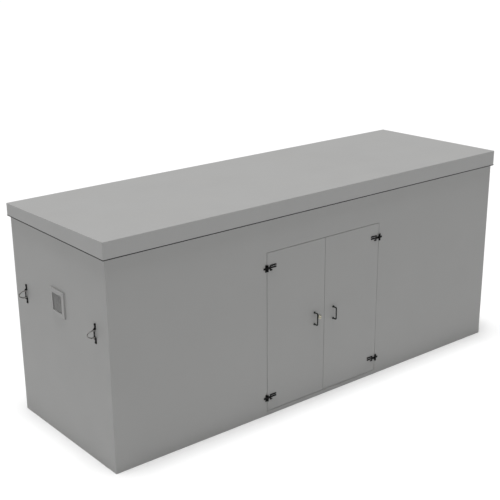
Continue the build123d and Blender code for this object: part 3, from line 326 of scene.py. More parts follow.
def moulded(name, colour, roughness, texture=0.0002, dust=0.15):
    """Moulded plastic or rubber with a fine spark-eroded texture."""
    made = Finish(name, colour, roughness)
    made.mottle(made.effect("grain", Scale=18.0, Contrast=1.4), 0.08)
    made.paint(made.effect("dust", Scale=8.0, Amount=dust), DUST_BROWN)
    made.gloss(made.effect("grain", Scale=50.0), roughness * 0.88, min(1.0, roughness * 1.12))
    return made.relief(made.effect("grain", Scale=700.0), texture, 0.6).material


def lining_film(name):
    """Pale perforated facing over sound-absorbing foam."""
    film = Finish(name, (0.40, 0.40, 0.39), 0.6)
    film.mottle(film.effect("grain", Scale=6.0, Contrast=1.5), 0.15)
    holes = film.effect("dots", Pitch=0.014, Size=0.2)
    film.paint(holes, (0.05, 0.05, 0.05))
    film.relief(film.effect("grain", Scale=12.0), 0.006, 0.25)
    flat = maths(film.tree, "SUBTRACT", 1.0, holes)
    return film.relief(flat, 0.0015, 0.8).material


def sawn_timber(name):
    wood = Finish(name, (0.47, 0.33, 0.18), 0.75)
    wood.mottle(wood.effect("grain", Stretch=(30.0, 1.0, 9.0), Scale=3.2, Contrast=2.2), 0.28)
    fibre = wood.effect("grain", Stretch=(60.0, 1.5, 60.0), Scale=9.0, Contrast=1.8)
    wood.paint(maths(wood.tree, "MULTIPLY", fibre, 0.35), (0.26, 0.16, 0.08))
    wood.gloss(fibre, 0.65, 0.85)
    return wood.relief(fibre, 0.0012, 0.7).material


def glass(name, colour, glow=0.0):
    """Clear or coloured lens; a lit one gives off a little light of its colour."""
    lens = Finish(name, colour, 0.06, Coat_Weight=0.6, Emission_Strength=glow)
    lens.shader.inputs["Emission Color"].default_value = lens.colour
    lens.gloss(lens.effect("grain", Scale=80.0, Contrast=1.5), 0.04, 0.12)
    return lens.material


finishes = {
    "grp_wall": gelcoat("gelcoat_wall", (0.372, 0.372, 0.367)),
    "grp_roof": gelcoat("gelcoat_roof", (0.392, 0.392, 0.388)),
    "black_steel": enamel(
        "black_powder_coat", (0.0015, 0.0015, 0.0015), 0.5, wear=0.06, peel=0.0005, dust=0.0, shine=0.15
    ),
    "dark_handle": enamel(
        "handle_black", (0.004, 0.008, 0.006), 0.28, wear=0.05, coat=0.2, dust=0.0, shine=0.3
    ),
    "lock_metal": worked_metal("lock_metal", (0.5, 0.48, 0.38), 0.3, drift=0.06),
    "ring_steel": worked_metal("ring_steel", (0.27, 0.27, 0.265), 0.42, drift=0.18, stain=(0.2, 0.19, 0.175)),
    "zinc_steel": worked_metal("zinc_steel", (0.55, 0.55, 0.55), 0.36, drift=0.16),
    "acoustic_foam": lining_film("perforated_film"),
    "seal_rubber": moulded("seal_rubber", (0.014, 0.014, 0.014), 0.72, dust=0.05),
    "frame_paint": enamel("frame_paint", (0.34, 0.34, 0.335), 0.4, wear=0.6, dust=0.05),
    "deck_steel": enamel("deck_paint", (0.10, 0.105, 0.11), 0.5, wear=0.9, peel=0.0005, dust=0.3),
    "timber": sawn_timber("joist_timber"),
    "louvre_alu": enamel("louvre_paint", (0.36, 0.36, 0.355), 0.42, wear=0.3, dust=0.18),
    "skid_paint": enamel("skid_black", (0.012, 0.012, 0.013), 0.3, wear=0.5, coat=0.2, dust=0.3),
    "mount_rubber": moulded("mount_rubber", (0.016, 0.016, 0.016), 0.7),
    "engine_paint": enamel(
        "engine_enamel", (0.045, 0.095, 0.075), 0.3, wear=0.4, peel=0.0006, coat=0.3, dust=0.25
    ),
    "cover_paint": cast("cast_aluminium", (0.42, 0.42, 0.42), 0.5, 0.9, (0.3, 0.29, 0.27)),
    "cast_iron": cast("hot_iron", (0.12, 0.085, 0.065), 0.75, 0.4, (0.2, 0.1, 0.055)),
    "filter_paint": enamel("filter_black", (0.015, 0.015, 0.016), 0.28, wear=0.2, coat=0.3, dust=0.35),
    "silencer_metal": worked_metal(
        "aluminised_steel", (0.4, 0.39, 0.37), 0.5, drift=0.2, stain=(0.27, 0.22, 0.17)
    ),
    "alternator_paint": enamel(
        "alternator_enamel", (0.03, 0.045, 0.075), 0.32, wear=0.3, coat=0.2, dust=0.25
    ),
    "shaft_steel": worked_metal("machined_steel", (0.5, 0.5, 0.49), 0.26, stretch=(14.0, 1.0, 1.0)),
    "fan_plastic": moulded("fan_nylon", (0.02, 0.02, 0.02), 0.45),
    "belt_rubber": moulded("belt_rubber", (0.012, 0.012, 0.012), 0.65),
    "radiator_paint": enamel("radiator_black", (0.018, 0.018, 0.018), 0.5, wear=0.3, dust=0.3),
    "tank_paint": enamel("tank_grey", (0.2, 0.215, 0.22), 0.34, wear=0.4, coat=0.2, dust=0.2),
    "cap_metal": worked_metal("cap_aluminium", (0.5, 0.5, 0.5), 0.35),
    "battery_case": moulded("battery_case", (0.016, 0.016, 0.018), 0.4),
    "cabinet_paint": enamel("cabinet_grey", (0.5, 0.51, 0.5), 0.48, wear=0.25, peel=0.0009, dust=0.08),
    "switch_plastic": moulded("switch_plastic", (0.08, 0.08, 0.085), 0.45),
    "panel_plastic": moulded("panel_plastic", (0.022, 0.022, 0.025), 0.5),
    "stop_red": moulded("stop_red", (0.5, 0.012, 0.01), 0.3, dust=0.03),
}
DISPLAY_GLASS = glass("display_glass", (0.02, 0.05, 0.035), 0.0)
GREEN_LENS = glass("green_lens", (0.02, 0.35, 0.05), 0.25)
AMBER_LENS = glass("amber_lens", (0.5, 0.22, 0.01), 0.0)
RED_LENS = glass("red_lens", (0.4, 0.01, 0.01), 0.0)
COPPER = worked_metal("copper_bar", (0.6, 0.28, 0.15), 0.3)
YELLOW_HANDLE = moulded("yellow_handle", (0.6, 0.4, 0.02), 0.4)


# ---------------- shaping ----------------
def track(axis):
    return axis.to_track_quat("Z", "Y").to_matrix()


class Work:
    """A bmesh in the making. Every shape is added at its own place in the shared frame."""

    def __init__(self, copy_of=None):
        self.bm = bmesh.new()
        if copy_of:
            self.bm.from_mesh(node[copy_of].data)
            bmesh.ops.remove_doubles(self.bm, verts=self.bm.verts, dist=1e-5)
            everything = {"verts": self.bm.verts, "edges": self.bm.edges}
            bmesh.ops.dissolve_limit(self.bm, angle_limit=math.radians(0.8), **everything)

    def round_off(self, edges, width, segments=2, least=28.0):
        """Rounds those of the edges that turn by more than the least angle."""
        sharp = []
        for edge in edges:
            if edge.is_manifold and edge.calc_face_angle() > math.radians(least):
                sharp.append(edge)
        if sharp and width:
            bmesh.ops.bevel(
                self.bm, geom=sharp, offset=width, offset_type="OFFSET", affect="EDGES",
                segments=segments, profile=0.5, material=-1, clamp_overlap=True,
            )

    def cut(self, point, normal, **options):
        """Slices the whole shape along a plane."""
        whole = list(self.bm.verts) + list(self.bm.edges) + list(self.bm.faces)
        bmesh.ops.bisect_plane(self.bm, geom=whole, plane_co=point, plane_no=normal, **options)

    def _settle(self, verts, edge):
        self.round_off({e for v in verts for e in v.link_edges}, edge)

    def block(self, start, end, edge=0.002, turn=None, about=None):
        """Box between two corners, with rounded edges, turned about its centre or a given point."""
        start, end = Vector(start), Vector(end)
        centre = (start + end) / 2
        made = bmesh.ops.create_cube(self.bm, size=1.0)["verts"]
        bmesh.ops.scale(self.bm, vec=end - start, verts=made)
        bmesh.ops.translate(self.bm, vec=centre, verts=made)
        if turn:
            bmesh.ops.rotate(self.bm, cent=about or centre, matrix=turn, verts=made)
        self._settle(made, edge)

    def drum(self, start, end, radius, tip=None, edge=0.001, sides=32):
        """Round bar or cone from one point to another, with rounded rims."""
        start, end = Vector(start), Vector(end)
        axis = end - start
        tip = radius if tip is None else tip
        ends = {"radius1": radius, "radius2": tip, "depth": axis.length}
        made = bmesh.ops.create_cone(self.bm, cap_ends=True, segments=sides, **ends)["verts"]
        bmesh.ops.rotate(self.bm, matrix=track(axis), verts=made)
        bmesh.ops.translate(self.bm, vec=(start + end) / 2, verts=made)
        self._settle(made, edge)
        return made

    def turned(self, base, axis, outline, sides=40):
        """Lathe shape: outline is (radius, distance along axis) points, closed at both ends."""
        points = [self.bm.verts.new((r, 0.0, h)) for r, h in outline]
        runs = [self.bm.edges.new(pair) for pair in zip(points, points[1:])]
        bmesh.ops.spin(
            self.bm, geom=points + runs, cent=(0, 0, 0), axis=(0, 0, 1), angle=math.tau,
            steps=sides, use_merge=True, use_duplicate=False,
        )
        whole = list(self._island(points[0]))
        bmesh.ops.remove_doubles(self.bm, verts=whole, dist=1e-6)
        whole = [v for v in whole if v.is_valid]
        faces = list({f for v in whole for f in v.link_faces})
        bmesh.ops.recalc_face_normals(self.bm, faces=faces)
        bmesh.ops.rotate(self.bm, matrix=track(Vector(axis)), verts=whole)
        bmesh.ops.translate(self.bm, vec=base, verts=whole)

    def _island(self, seed):
        """Every vertex joined to the seed."""
        found, waiting = {seed}, [seed]
        while waiting:
            for edge in waiting.pop().link_edges:
                fresh = [v for v in edge.verts if v not in found]
                found.update(fresh)
                waiting.extend(fresh)
        return found

    def hoop(self, centre, axis, radius, wire, sides=40, wire_sides=8):
        """Closed ring of round wire."""
        outline = []
        for i in range(wire_sides + 1):
            angle = math.tau * i / wire_sides
            outline.append((radius + wire * math.cos(angle), wire * math.sin(angle)))
        self.turned(centre, axis, outline, sides)

    def pipe(self, points, radius, bend=0.0, sides=4):
        """Rigid metal tube along straight runs, with rounded bends."""
        route = [Vector(p) for p in points]
        corners = [route[0]]
        for before, corner, after in zip(route, route[1:], route[2:]):
            corners += [corner + (before - corner).normalized() * bend, corner]
            corners.append(corner + (after - corner).normalized() * bend)
        corners.append(route[-1])
        curve = bpy.data.curves.new("tube_line", "CURVE")
        curve.dimensions = "3D"
        curve.bevel_depth = radius
        curve.bevel_resolution = sides
        curve.use_fill_caps = True
        spline = curve.splines.new("NURBS")
        spline.points.add(len(corners) - 1)
        for point, spot in zip(spline.points, corners):
            point.co = (*spot, 1.0)
        spline.order_u = 3
        spline.use_endpoint_u = True
        holder = bpy.data.objects.new("tube_line", curve)
        mesh = bpy.data.meshes.new_from_object(holder)
        self.bm.from_mesh(mesh)
        bpy.data.objects.remove(holder)
        bpy.data.curves.remove(curve)
        bpy.data.meshes.remove(mesh)

    def bolt(self, spot, out, size):
        """Hexagon head on a washer, standing on a face."""
        spot, out = Vector(spot), Vector(out)
        seat = spot + out * size * 0.2
        self.drum(spot, seat, size * 1.15, edge=size * 0.05, sides=20)
        self.drum(seat, seat + out * size * 0.7, size, edge=size * 0.12, sides=6)

    def screw(self, spot, out, size):
        """Pan head with a round drive recess, standing on a face."""
        spot, out = Vector(spot), Vector(out)
        rim, top = size * 0.25, size * 0.55
        outline = [(size, 0.0), (size, rim), (size * 0.75, top), (size * 0.42, top)]
        outline += [(size * 0.38, rim), (0.0, rim)]
        self.turned(spot - out * size * 0.05, out, outline, sides=18)


def around(count, radius, first=0.0):
    """Offsets evenly spaced round a circle; first is where it starts, in parts of a step."""
    for i in range(count):
        turn = math.tau * (i + first) / count
        yield radius * math.cos(turn), radius * math.sin(turn)


def spaced(first, last, count):
    """Evenly spaced places from the first to the last."""
    return [first + i * (last - first) / (count - 1) for i in range(count)]


def piece(name, work, finish, body=ENCLOSURE, replaces=(), smooth=32.0, slot=None):
    """Makes the object from a finished bmesh: finish is a record slot's name or a material."""
    mesh = bpy.data.meshes.new(name)
    work.bm.to_mesh(mesh)
    work.bm.free()
    mesh.materials.append(finishes.get(finish, finish) if isinstance(finish, str) else finish)
    for polygon in mesh.polygons:
        polygon.use_smooth = True
    mesh.set_sharp_from_angle(angle=math.radians(smooth))
    made = bpy.data.objects.new(name, mesh)
    bpy.context.scene.collection.objects.link(made)
    flatten = made.modifiers.new("flat_faces", "WEIGHTED_NORMAL")
    flatten.keep_sharp = True
    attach(made, body)
    slot = slot or (finish if isinstance(finish, str) else None)
    if replaces:
        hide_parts(*replaces)
    return made


def softened(name, width, segments=2, where=None, work=None, least=28.0):
    """A copy of a CAD node with its edges rounded stands for it."""
    work = work or Work(name)
    edges = [e for e in work.bm.edges if where is None or where((e.verts[0].co + e.verts[1].co) / 2)]
    work.round_off(edges, width, segments, least)
    return piece(name + "_body", work, node_slot[name], node_body[name], (name,))


def paint_frame():
    """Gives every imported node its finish; the ones that are softened are hidden later."""
    for name, slot_name in node_slot.items():
        mesh = node[name].data
        mesh.materials.clear()
        mesh.materials.append(finishes[slot_name])


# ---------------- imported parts, with rounded edges ----------------
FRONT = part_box("front_left_panel")[0].y
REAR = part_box("rear_wall")[1].y
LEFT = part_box("left_end_wall")[0].x
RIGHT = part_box("right_end_wall")[1].x
JAMB = -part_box("front_left_panel")[1].x
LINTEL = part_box("front_header_panel")[0].z
OUT_FRONT = (0.0, -1.0, 0.0)
OUT_LEFT = (-1.0, 0.0, 0.0)
OUT_RIGHT = (1.0, 0.0, 0.0)
OUT_REAR = (0.0, 1.0, 0.0)
UPWARD = (0.0, 0.0, 1.0)
NEAR = 0.001
CORNER_ROUND = 0.006
LIP_ROUND = 0.0016
CRANK_JOURNAL = 0.034
WASHER = [(0.019, 0.0), (0.019, 0.0008), (0.008, 0.0022), (0.0, 0.0026)]
ROUNDED = {
    "roof_cap": 0.006, "roof_joists": 0.003, "door_frame": 0.0012,
    "vent_frame": 0.0012, "vent_grille": 0.0005,
    "air_louvres": 0.001, "strap_brackets": 0.0010, "front_ring": 0.0012, "rear_ring": 0.0012,
    "hinge_frame_plates": 0.0009, "left_hinge_arms": 0.0009, "right_hinge_arms": 0.0009,
    "left_pull_handle": 0.0010, "right_pull_handle": 0.0010, "lock_case": 0.0006,
    "left_top_bolt": 0.0005, "left_bottom_bolt": 0.0005, "right_top_bolt": 0.0005,
    "left_door_leaf": LIP_ROUND, "right_door_leaf": LIP_ROUND,
    "skid_frame": 0.004, "engine_block": 0.006, "cylinder_head": 0.004, "oil_sump": 0.003,
    "flywheel_housing": 0.005, "exhaust_manifold": 0.003, "air_filter": 0.005, "exhaust_pipes": 0.001,
    "alternator_housing": 0.006, "charge_alternator": 0.003, "charge_pulley": 0.0012, "cooling_fan": 0.0012,
    "discharge_duct": 0.001, "radiator": 0.003, "fan_shroud": 0.001, "battery": 0.002,
    "control_cabinet": 0.0012, "cabinet_door": 0.0012, "control_panel": 0.0015, "switchgear": 0.002,
    "fuel_tank": 0.0012, "vibration_mounts": 0.003, "door_seal": 0.002,
}


def wall_panels():
    """Front and rear walls: rounded outer corners, and softer lips round the doorway only."""
    for name, side in (("front_left_panel", -1), ("front_right_panel", 1)):
        work = Work(name)
        work.cut((0, 0, LINTEL), UPWARD)
        lip, corner = [], []
        for edge in work.bm.edges:
            middle = (edge.verts[0].co + edge.verts[1].co) / 2
            if abs(middle.y - FRONT) > NEAR:
                continue
            if abs(middle.x - side * JAMB) < NEAR and middle.z < LINTEL - NEAR:
                lip.append(edge)
            elif abs(abs(middle.x) - RIGHT) < NEAR:
                corner.append(edge)
        work.round_off(lip, LIP_ROUND)
        work.round_off([e for e in corner if e.is_valid], CORNER_ROUND, 3)
        piece(name + "_body", work, "grp_wall", replaces=(name,))
    softened("front_header_panel", LIP_ROUND, where=lambda p: p.z < LINTEL + NEAR and p.y < FRONT + NEAR)
    threshold_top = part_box("door_threshold")[1].z
    on_top = threshold_top - NEAR
    softened("door_threshold", LIP_ROUND, where=lambda p: p.z > on_top and p.y < FRONT + NEAR)
    softened("rear_wall", CORNER_ROUND, 3, lambda p: abs(p.x) > RIGHT - NEAR and p.y > REAR - NEAR)


def rounded_parts():
    wall_panels()
    for name, width in ROUNDED.items():
        softened(name, width)
    for name in ("silencer", "stop_button", "filler_cap"):
        softened(name, 0.0)
    shaft = Work("crankshaft")
    slim(shaft, OUT_RIGHT, joint_at["crank_spin"], CRANK_JOURNAL)
    softened("crankshaft", 0.0015, work=shaft)


def roof_details():
    """Rubber edge trim pressed round the lower rim of the roof cap's skirt; its near-black strip also stands
    in for the shade line under the fascia, as painted shadow.
    """
    bottom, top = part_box("roof_cap")
    height, proud, depth = 0.009, 0.0015, 0.006
    trim = Work()
    for x, side in ((bottom.x, -1), (top.x, 1)):
        x0, x1 = sorted((x + side * proud, x - side * depth))
        y0, y1 = bottom.y - proud, top.y + proud
        trim.block((x0, y0, bottom.z - proud), (x1, y1, bottom.z + height), 0.0012)
    for y, side in ((bottom.y, -1), (top.y, 1)):
        y0, y1 = sorted((y + side * proud, y - side * depth))
        trim.block((bottom.x + proud, y0, bottom.z - proud), (top.x - proud, y1, bottom.z + height), 0.0012)
    # near-black rubber: a real edge trim that also paints the shadow line under the roof skirt
    piece("roof_edge_trim", trim, "seal_rubber", node_body["roof_cap"])


# ---------------- doors ----------------
HINGE_PLATE = 0.006
HINGE_SCREW = 0.0042
PRONG_RISE = 0.027


def hinge_screws():
    """Countersunk screws of the four hinges, on the wall plates and on the leaf straps."""
    plates = Work()
    strap_low, strap_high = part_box("left_hinge_arms")
    rise = PRONG_RISE + 0.008
    heights = (strap_low.z + rise, strap_high.z - rise)
    for joint, side in (("left_door_swing", -1), ("right_door_swing", 1)):
        pivot = abs(joint_at[joint][0])
        straps = Work()
        face = FRONT - HINGE_PLATE
        for z in heights:
            for reach, up in ((0.0205, 0.034), (0.0205, -0.034), (0.042, 0.0)):
                plates.screw((side * (pivot + reach), face, z + up), OUT_FRONT, HINGE_SCREW)
            for reach, up in ((0.124, 0.0), (0.088, 0.0), (0.124, PRONG_RISE), (0.067, -PRONG_RISE)):
                straps.screw((side * (pivot - reach), face, z + up), OUT_FRONT, HINGE_SCREW)
        name = "left_door" if side < 0 else "right_door"
        piece(name + "_hinge_screws", straps, "black_steel", name)
    piece("wall_hinge_screws", plates, "black_steel")


def handle_fixings():
    """Domed collars and grub screws where the pull handles meet their roses."""
    for name in ("left_pull_handle", "right_pull_handle"):
        work = Work()
        bottom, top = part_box(name)
        x = (bottom.x + top.x) / 2
        rose = 0.015
        for z in (bottom.z + rose, top.z - rose):
            outline = [(0.0125, 0.0), (0.0125, 0.0015), (0.0108, 0.004), (0.0086, 0.006), (0.0084, 0.0)]
            work.turned((x, FRONT - 0.004, z), OUT_FRONT, outline, 32)
            for side in (-1, 1):
                work.screw((x + side * 0.0125, FRONT - 0.004, z), OUT_FRONT, 0.0016)
        piece(name + "_collars", work, "dark_handle", node_body[name])


def lock_knob():
    """Polished domed knob with a key slot; its spindle and pinion stay as they are inside the leaf."""
    x, y, z = joint_at["lock_turn"]
    work = Work("lock_knob")
    work.cut((0, y - 0.004, 0), OUT_FRONT, clear_outer=True)
    rim = [e for e in work.bm.edges if e.is_boundary]
    bmesh.ops.holes_fill(work.bm, edges=rim)
    steps = 10
    outline = [(0.0, 0.0), (0.0165, 0.0), (0.0165, 0.004), (0.0235, 0.009), (0.024, 0.0125)]
    for i in range(steps + 1):
        turn = math.radians(90.0 * i / steps)
        outline.append((0.0075 + 0.0165 * math.cos(turn), 0.0135 + 0.0165 * math.sin(turn)))
    outline += [(0.0068, 0.0306), (0.006, 0.0306), (0.0058, 0.0285), (0.0, 0.0285)]
    slim(work, OUT_REAR, (x, y, z), 0.009)
    work.turned((x, y - 0.0034, z), OUT_FRONT, outline, 64)
    piece("lock_knob_dome", work, "lock_metal", "lock", ("lock_knob",))
    key = Work()
    plug = y - 0.0034 - 0.0285
    key.drum((x, plug, z), (x, plug - 0.0012, z), 0.0052, edge=0.0004)
    key.block((x - 0.0006, plug - 0.0016, z - 0.0036), (x + 0.0006, plug - 0.0002, z + 0.0036), edge=0.0002)
    piece("lock_key_plug", key, "dark_handle", "lock")


def slim(work, axis, centre, reach, gap=0.0003):
    """Draws the vertices that lie within reach of an axis nearer to it, to leave a running gap."""
    for vert in work.bm.verts:
        offset = vert.co - Vector(centre)
        offset -= offset.dot(Vector(axis)) * Vector(axis)
        if gap < offset.length < reach:
            vert.co -= offset.normalized() * gap


def leaf_inside():
    """Film edging and fixing washers on the inner side of the leaves."""
    for name in ("left_door_lining", "right_door_lining"):
        body = node_body[name]
        work = Work()
        bottom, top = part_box(name)
        side = -1 if top.x < 0 else 1
        back = top.y
        x_near, x_far = (bottom.x, top.x) if side > 0 else (top.x, bottom.x)
        for x in (x_near, x_far):
            a, b = sorted((x, x + side * (0.018 if x == x_near else -0.018)))
            work.block((a, back, bottom.z + 0.002), (b, back + 0.0012, top.z - 0.002), edge=0.0004)
        piece(name + "_edging", work, "frame_paint", body)
        pins = Work()
        columns, rows = 3, 7
        for i in range(columns):
            for j in range(rows):
                x = bottom.x + (top.x - bottom.x) * (i + 0.5) / columns
                z = bottom.z + (top.z - bottom.z) * (j + 0.5) / rows
                pins.turned((x, back, z), OUT_REAR, WASHER, 20)
        piece(name + "_washers", pins, "zinc_steel", body)


# ---------------- left end: vent, straps and rings ----------------
def wire_mesh(work, low_corner, high_corner, axis, pitch, wire):
    """Square mesh of thin flat wires across a rectangle that is thin along axis."""
    a, b = Vector(low_corner), Vector(high_corner)
    ways = [i for i in range(3) if i != axis]
    for across in ways[::-1]:
        count = max(1, round((b[across] - a[across]) / pitch))
        for i in range(1, count):
            start, end = a.copy(), b.copy()
            middle = a[across] + (b[across] - a[across]) * i / count
            start[across], end[across] = middle - wire / 2, middle + wire / 2
            start[axis], end[axis] = a[axis] - wire / 2, a[axis] + wire / 2
            work.block(start, end, edge=0.0)


def vent_details():
    bottom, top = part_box("vent_frame")
    border = 0.046
    mesh = Work()
    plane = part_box("vent_grille")[0].x - 0.0015
    a = (plane, bottom.y + border, bottom.z + border)
    b = (plane, top.y - border, top.z - border)
    wire_mesh(mesh, a, b, 0, 0.004, 0.0018)
    piece("vent_fly_mesh", mesh, "grp_wall")
    screws = Work()
    inset = 0.022
    for y in (bottom.y + inset, top.y - inset):
        for z in (bottom.z + inset, top.z - inset):
            screws.screw((bottom.x, y, z), OUT_LEFT, 0.0042)
    piece("vent_frame_screws", screws, "grp_wall")
    bead = Work()
    edge, thick = 0.0022, 0.004
    for z in (bottom.z, top.z):
        corner = (LEFT - edge, bottom.y - thick / 2, z - thick / 2)
        bead.block(corner, (LEFT, top.y + thick / 2, z + thick / 2), 0.001)
    for y in (bottom.y, top.y):
        bead.block((LEFT - edge, y - thick / 2, bottom.z), (LEFT, y + thick / 2, top.z), 0.001)
    piece("vent_seal_bead", bead, "grp_wall")


def strap_details():
    """Washers under the bolts and weld beads at the bar's feet."""
    work = Work()
    face = LEFT - 0.008
    for joint in ("front_ring_swing", "rear_ring_swing"):
        y, z = joint_at[joint][1:]
        for s in (-1, 1):
            for t in (-1, 1):
                spot = (face, y, z + s * 0.081 + t * 0.022)
                work.drum(spot, Vector(spot) + Vector(OUT_LEFT) * 0.0012, 0.0102, edge=0.0003, sides=24)
            foot = z + s * 0.047
            for side in (y - 0.0075, y + 0.0075):
                work.pipe([(face, side, foot - 0.008), (face, side, foot + 0.02 * s)], 0.002)
    piece("strap_washers_and_welds", work, "black_steel")


# ---------------- weather louvres ----------------
def louvre_details():
    """Bird mesh behind the blades and screws round the frames."""
    mesh, screws = Work(), Work()
    duct_low, duct_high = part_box("discharge_duct")
    inlet_wide, inlet_level = 1.39, 0.9
    frame_lap, frame_band, setback, proud = 0.03, 0.0225, 0.04, 0.012
    outlet = Vector((RIGHT, 0.0, (duct_low.z + duct_high.z) / 2))
    inlet = Vector((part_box("air_louvres")[0].x + inlet_wide / 2, REAR, inlet_level))
    for axis, out, centre, half in ((0, OUT_RIGHT, outlet, (0.53, 0.53)), (1, OUT_REAR, inlet, (0.65, 0.45))):
        out, along, rise = Vector(out), Vector((out[1], out[0], 0.0)), Vector(UPWARD)
        reach = along * (half[0] - frame_lap) + rise * (half[1] - frame_lap)
        behind, face = centre - out * setback, centre + out * proud
        wire_mesh(mesh, behind - reach, behind + reach, axis, 0.0125, 0.0012)
        wide, tall = along * (half[0] + frame_band), rise * (half[1] + frame_band)
        for step in spaced(-1.0, 1.0, 5):
            for s in (-1, 1):
                screws.screw(face + wide * step + tall * s, out, 0.004)
                if abs(step) < 1.0:
                    screws.screw(face + wide * s + tall * step, out, 0.004)
    piece("louvre_bird_mesh", mesh, "zinc_steel")
    piece("louvre_screws", screws, "louvre_alu")


# ---------------- room ----------------
def room_fittings():
    """Cover strips and washers that hold the lining to the walls."""
    bottom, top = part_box("wall_lining")
    wall_and_lining, beside_doorway = 0.075, 0.97
    face_front, face_rear = FRONT + wall_and_lining, REAR - wall_and_lining
    strips, washers = Work(), Work()
    pitch = 0.6
    count = int((top.x - bottom.x) / pitch)
    for i in range(1, count):
        x = bottom.x + i * pitch
        z0, z1 = bottom.z + 0.004, top.z - 0.004
        strips.block((x - 0.02, face_rear - 0.0015, z0), (x + 0.02, face_rear, z1), 0.0005)
        if abs(x) > beside_doorway:
            strips.block((x - 0.02, face_front, z0), (x + 0.02, face_front + 0.0015, z1), 0.0005)
    for i in range(count):
        x = bottom.x + (i + 0.5) * pitch
        for z in (0.35, 0.85, 1.35, 1.85, 2.3):
            washers.turned((x, face_rear, z), OUT_FRONT, WASHER, 16)
            if abs(x) > beside_doorway:
                washers.turned((x, face_front, z), OUT_REAR, WASHER, 16)
    piece("lining_cover_strips", strips, "frame_paint")
    piece("lining_washers", washers, "zinc_steel")


def tread_lugs():
    """Raised lugs of the chequer-plate deck."""
    bottom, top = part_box("floor_deck")
    work = Work()
    pitch = 0.055
    for i, side in enumerate((-1, 1)):
        inset = 0.03 + i * pitch / 2
        centre = Vector((bottom.x + inset, bottom.y + inset, top.z))
        turn = Matrix.Rotation(side * math.radians(45.0), 3, "Z")
        lug = {"radius1": 0.0125, "radius2": 0.009, "depth": 0.0016}
        made = bmesh.ops.create_cone(work.bm, cap_ends=True, segments=6, **lug)["verts"]
        bmesh.ops.scale(work.bm, vec=(1.0, 0.32, 1.0), verts=made)
        bmesh.ops.rotate(work.bm, matrix=turn, verts=made)
        bmesh.ops.translate(work.bm, vec=centre + Vector((0, 0, lug["depth"] / 2)), verts=made)
    lugs = piece("deck_tread_lugs", work, "deck_steel")
    for axis, span in ((0, top.x - bottom.x), (1, top.y - bottom.y)):
        rows = lugs.modifiers.new("rows", "ARRAY")
        rows.use_relative_offset = False
        rows.use_constant_offset = True
        rows.constant_offset_displace = [pitch if i == axis else 0.0 for i in range(3)]
        rows.count = int((span - 0.06) / pitch)


# ---------------- engine ----------------
BLOCK_SIDE = 0.21
HEAD_LEDGE = 0.13


def engine_fasteners():
    """Head bolts, cover bolts, sump bolts and coupling-ring bolts."""
    block_low, block_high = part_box("engine_block")
    head_low, head_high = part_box("cylinder_head")
    sump_low, sump_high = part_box("oil_sump")
    ring_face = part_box("flywheel_housing")[1].x
    shaft = Vector(joint_at["crank_spin"])
    work = Work()
    ledge = block_high.z + HEAD_LEDGE
    for x in spaced(head_low.x + 0.04, head_high.x - 0.04, 10):
        for s in (-1, 1):
            work.bolt((x, s * 0.148, ledge), UPWARD, 0.0095)
    for x in spaced(head_low.x + 0.12, head_high.x - 0.12, 4):
        work.bolt((x, 0.0, head_high.z), UPWARD, 0.009)
    for x in spaced(sump_low.x + 0.05, sump_high.x - 0.05, 12):
        for s in (-1, 1):
            work.bolt((x, s * 0.18, block_low.z + 0.2995), (0.0, s, 0.0), 0.006)
    beside_block, below_block = BLOCK_SIDE + 0.002, 0.5
    for y, rise in around(16, 0.245, 0.5):
        if abs(y) > beside_block or shaft.z + rise < below_block:
            work.bolt((ring_face, y, shaft.z + rise), OUT_RIGHT, 0.008)
    piece("engine_bolts", work, "zinc_steel")


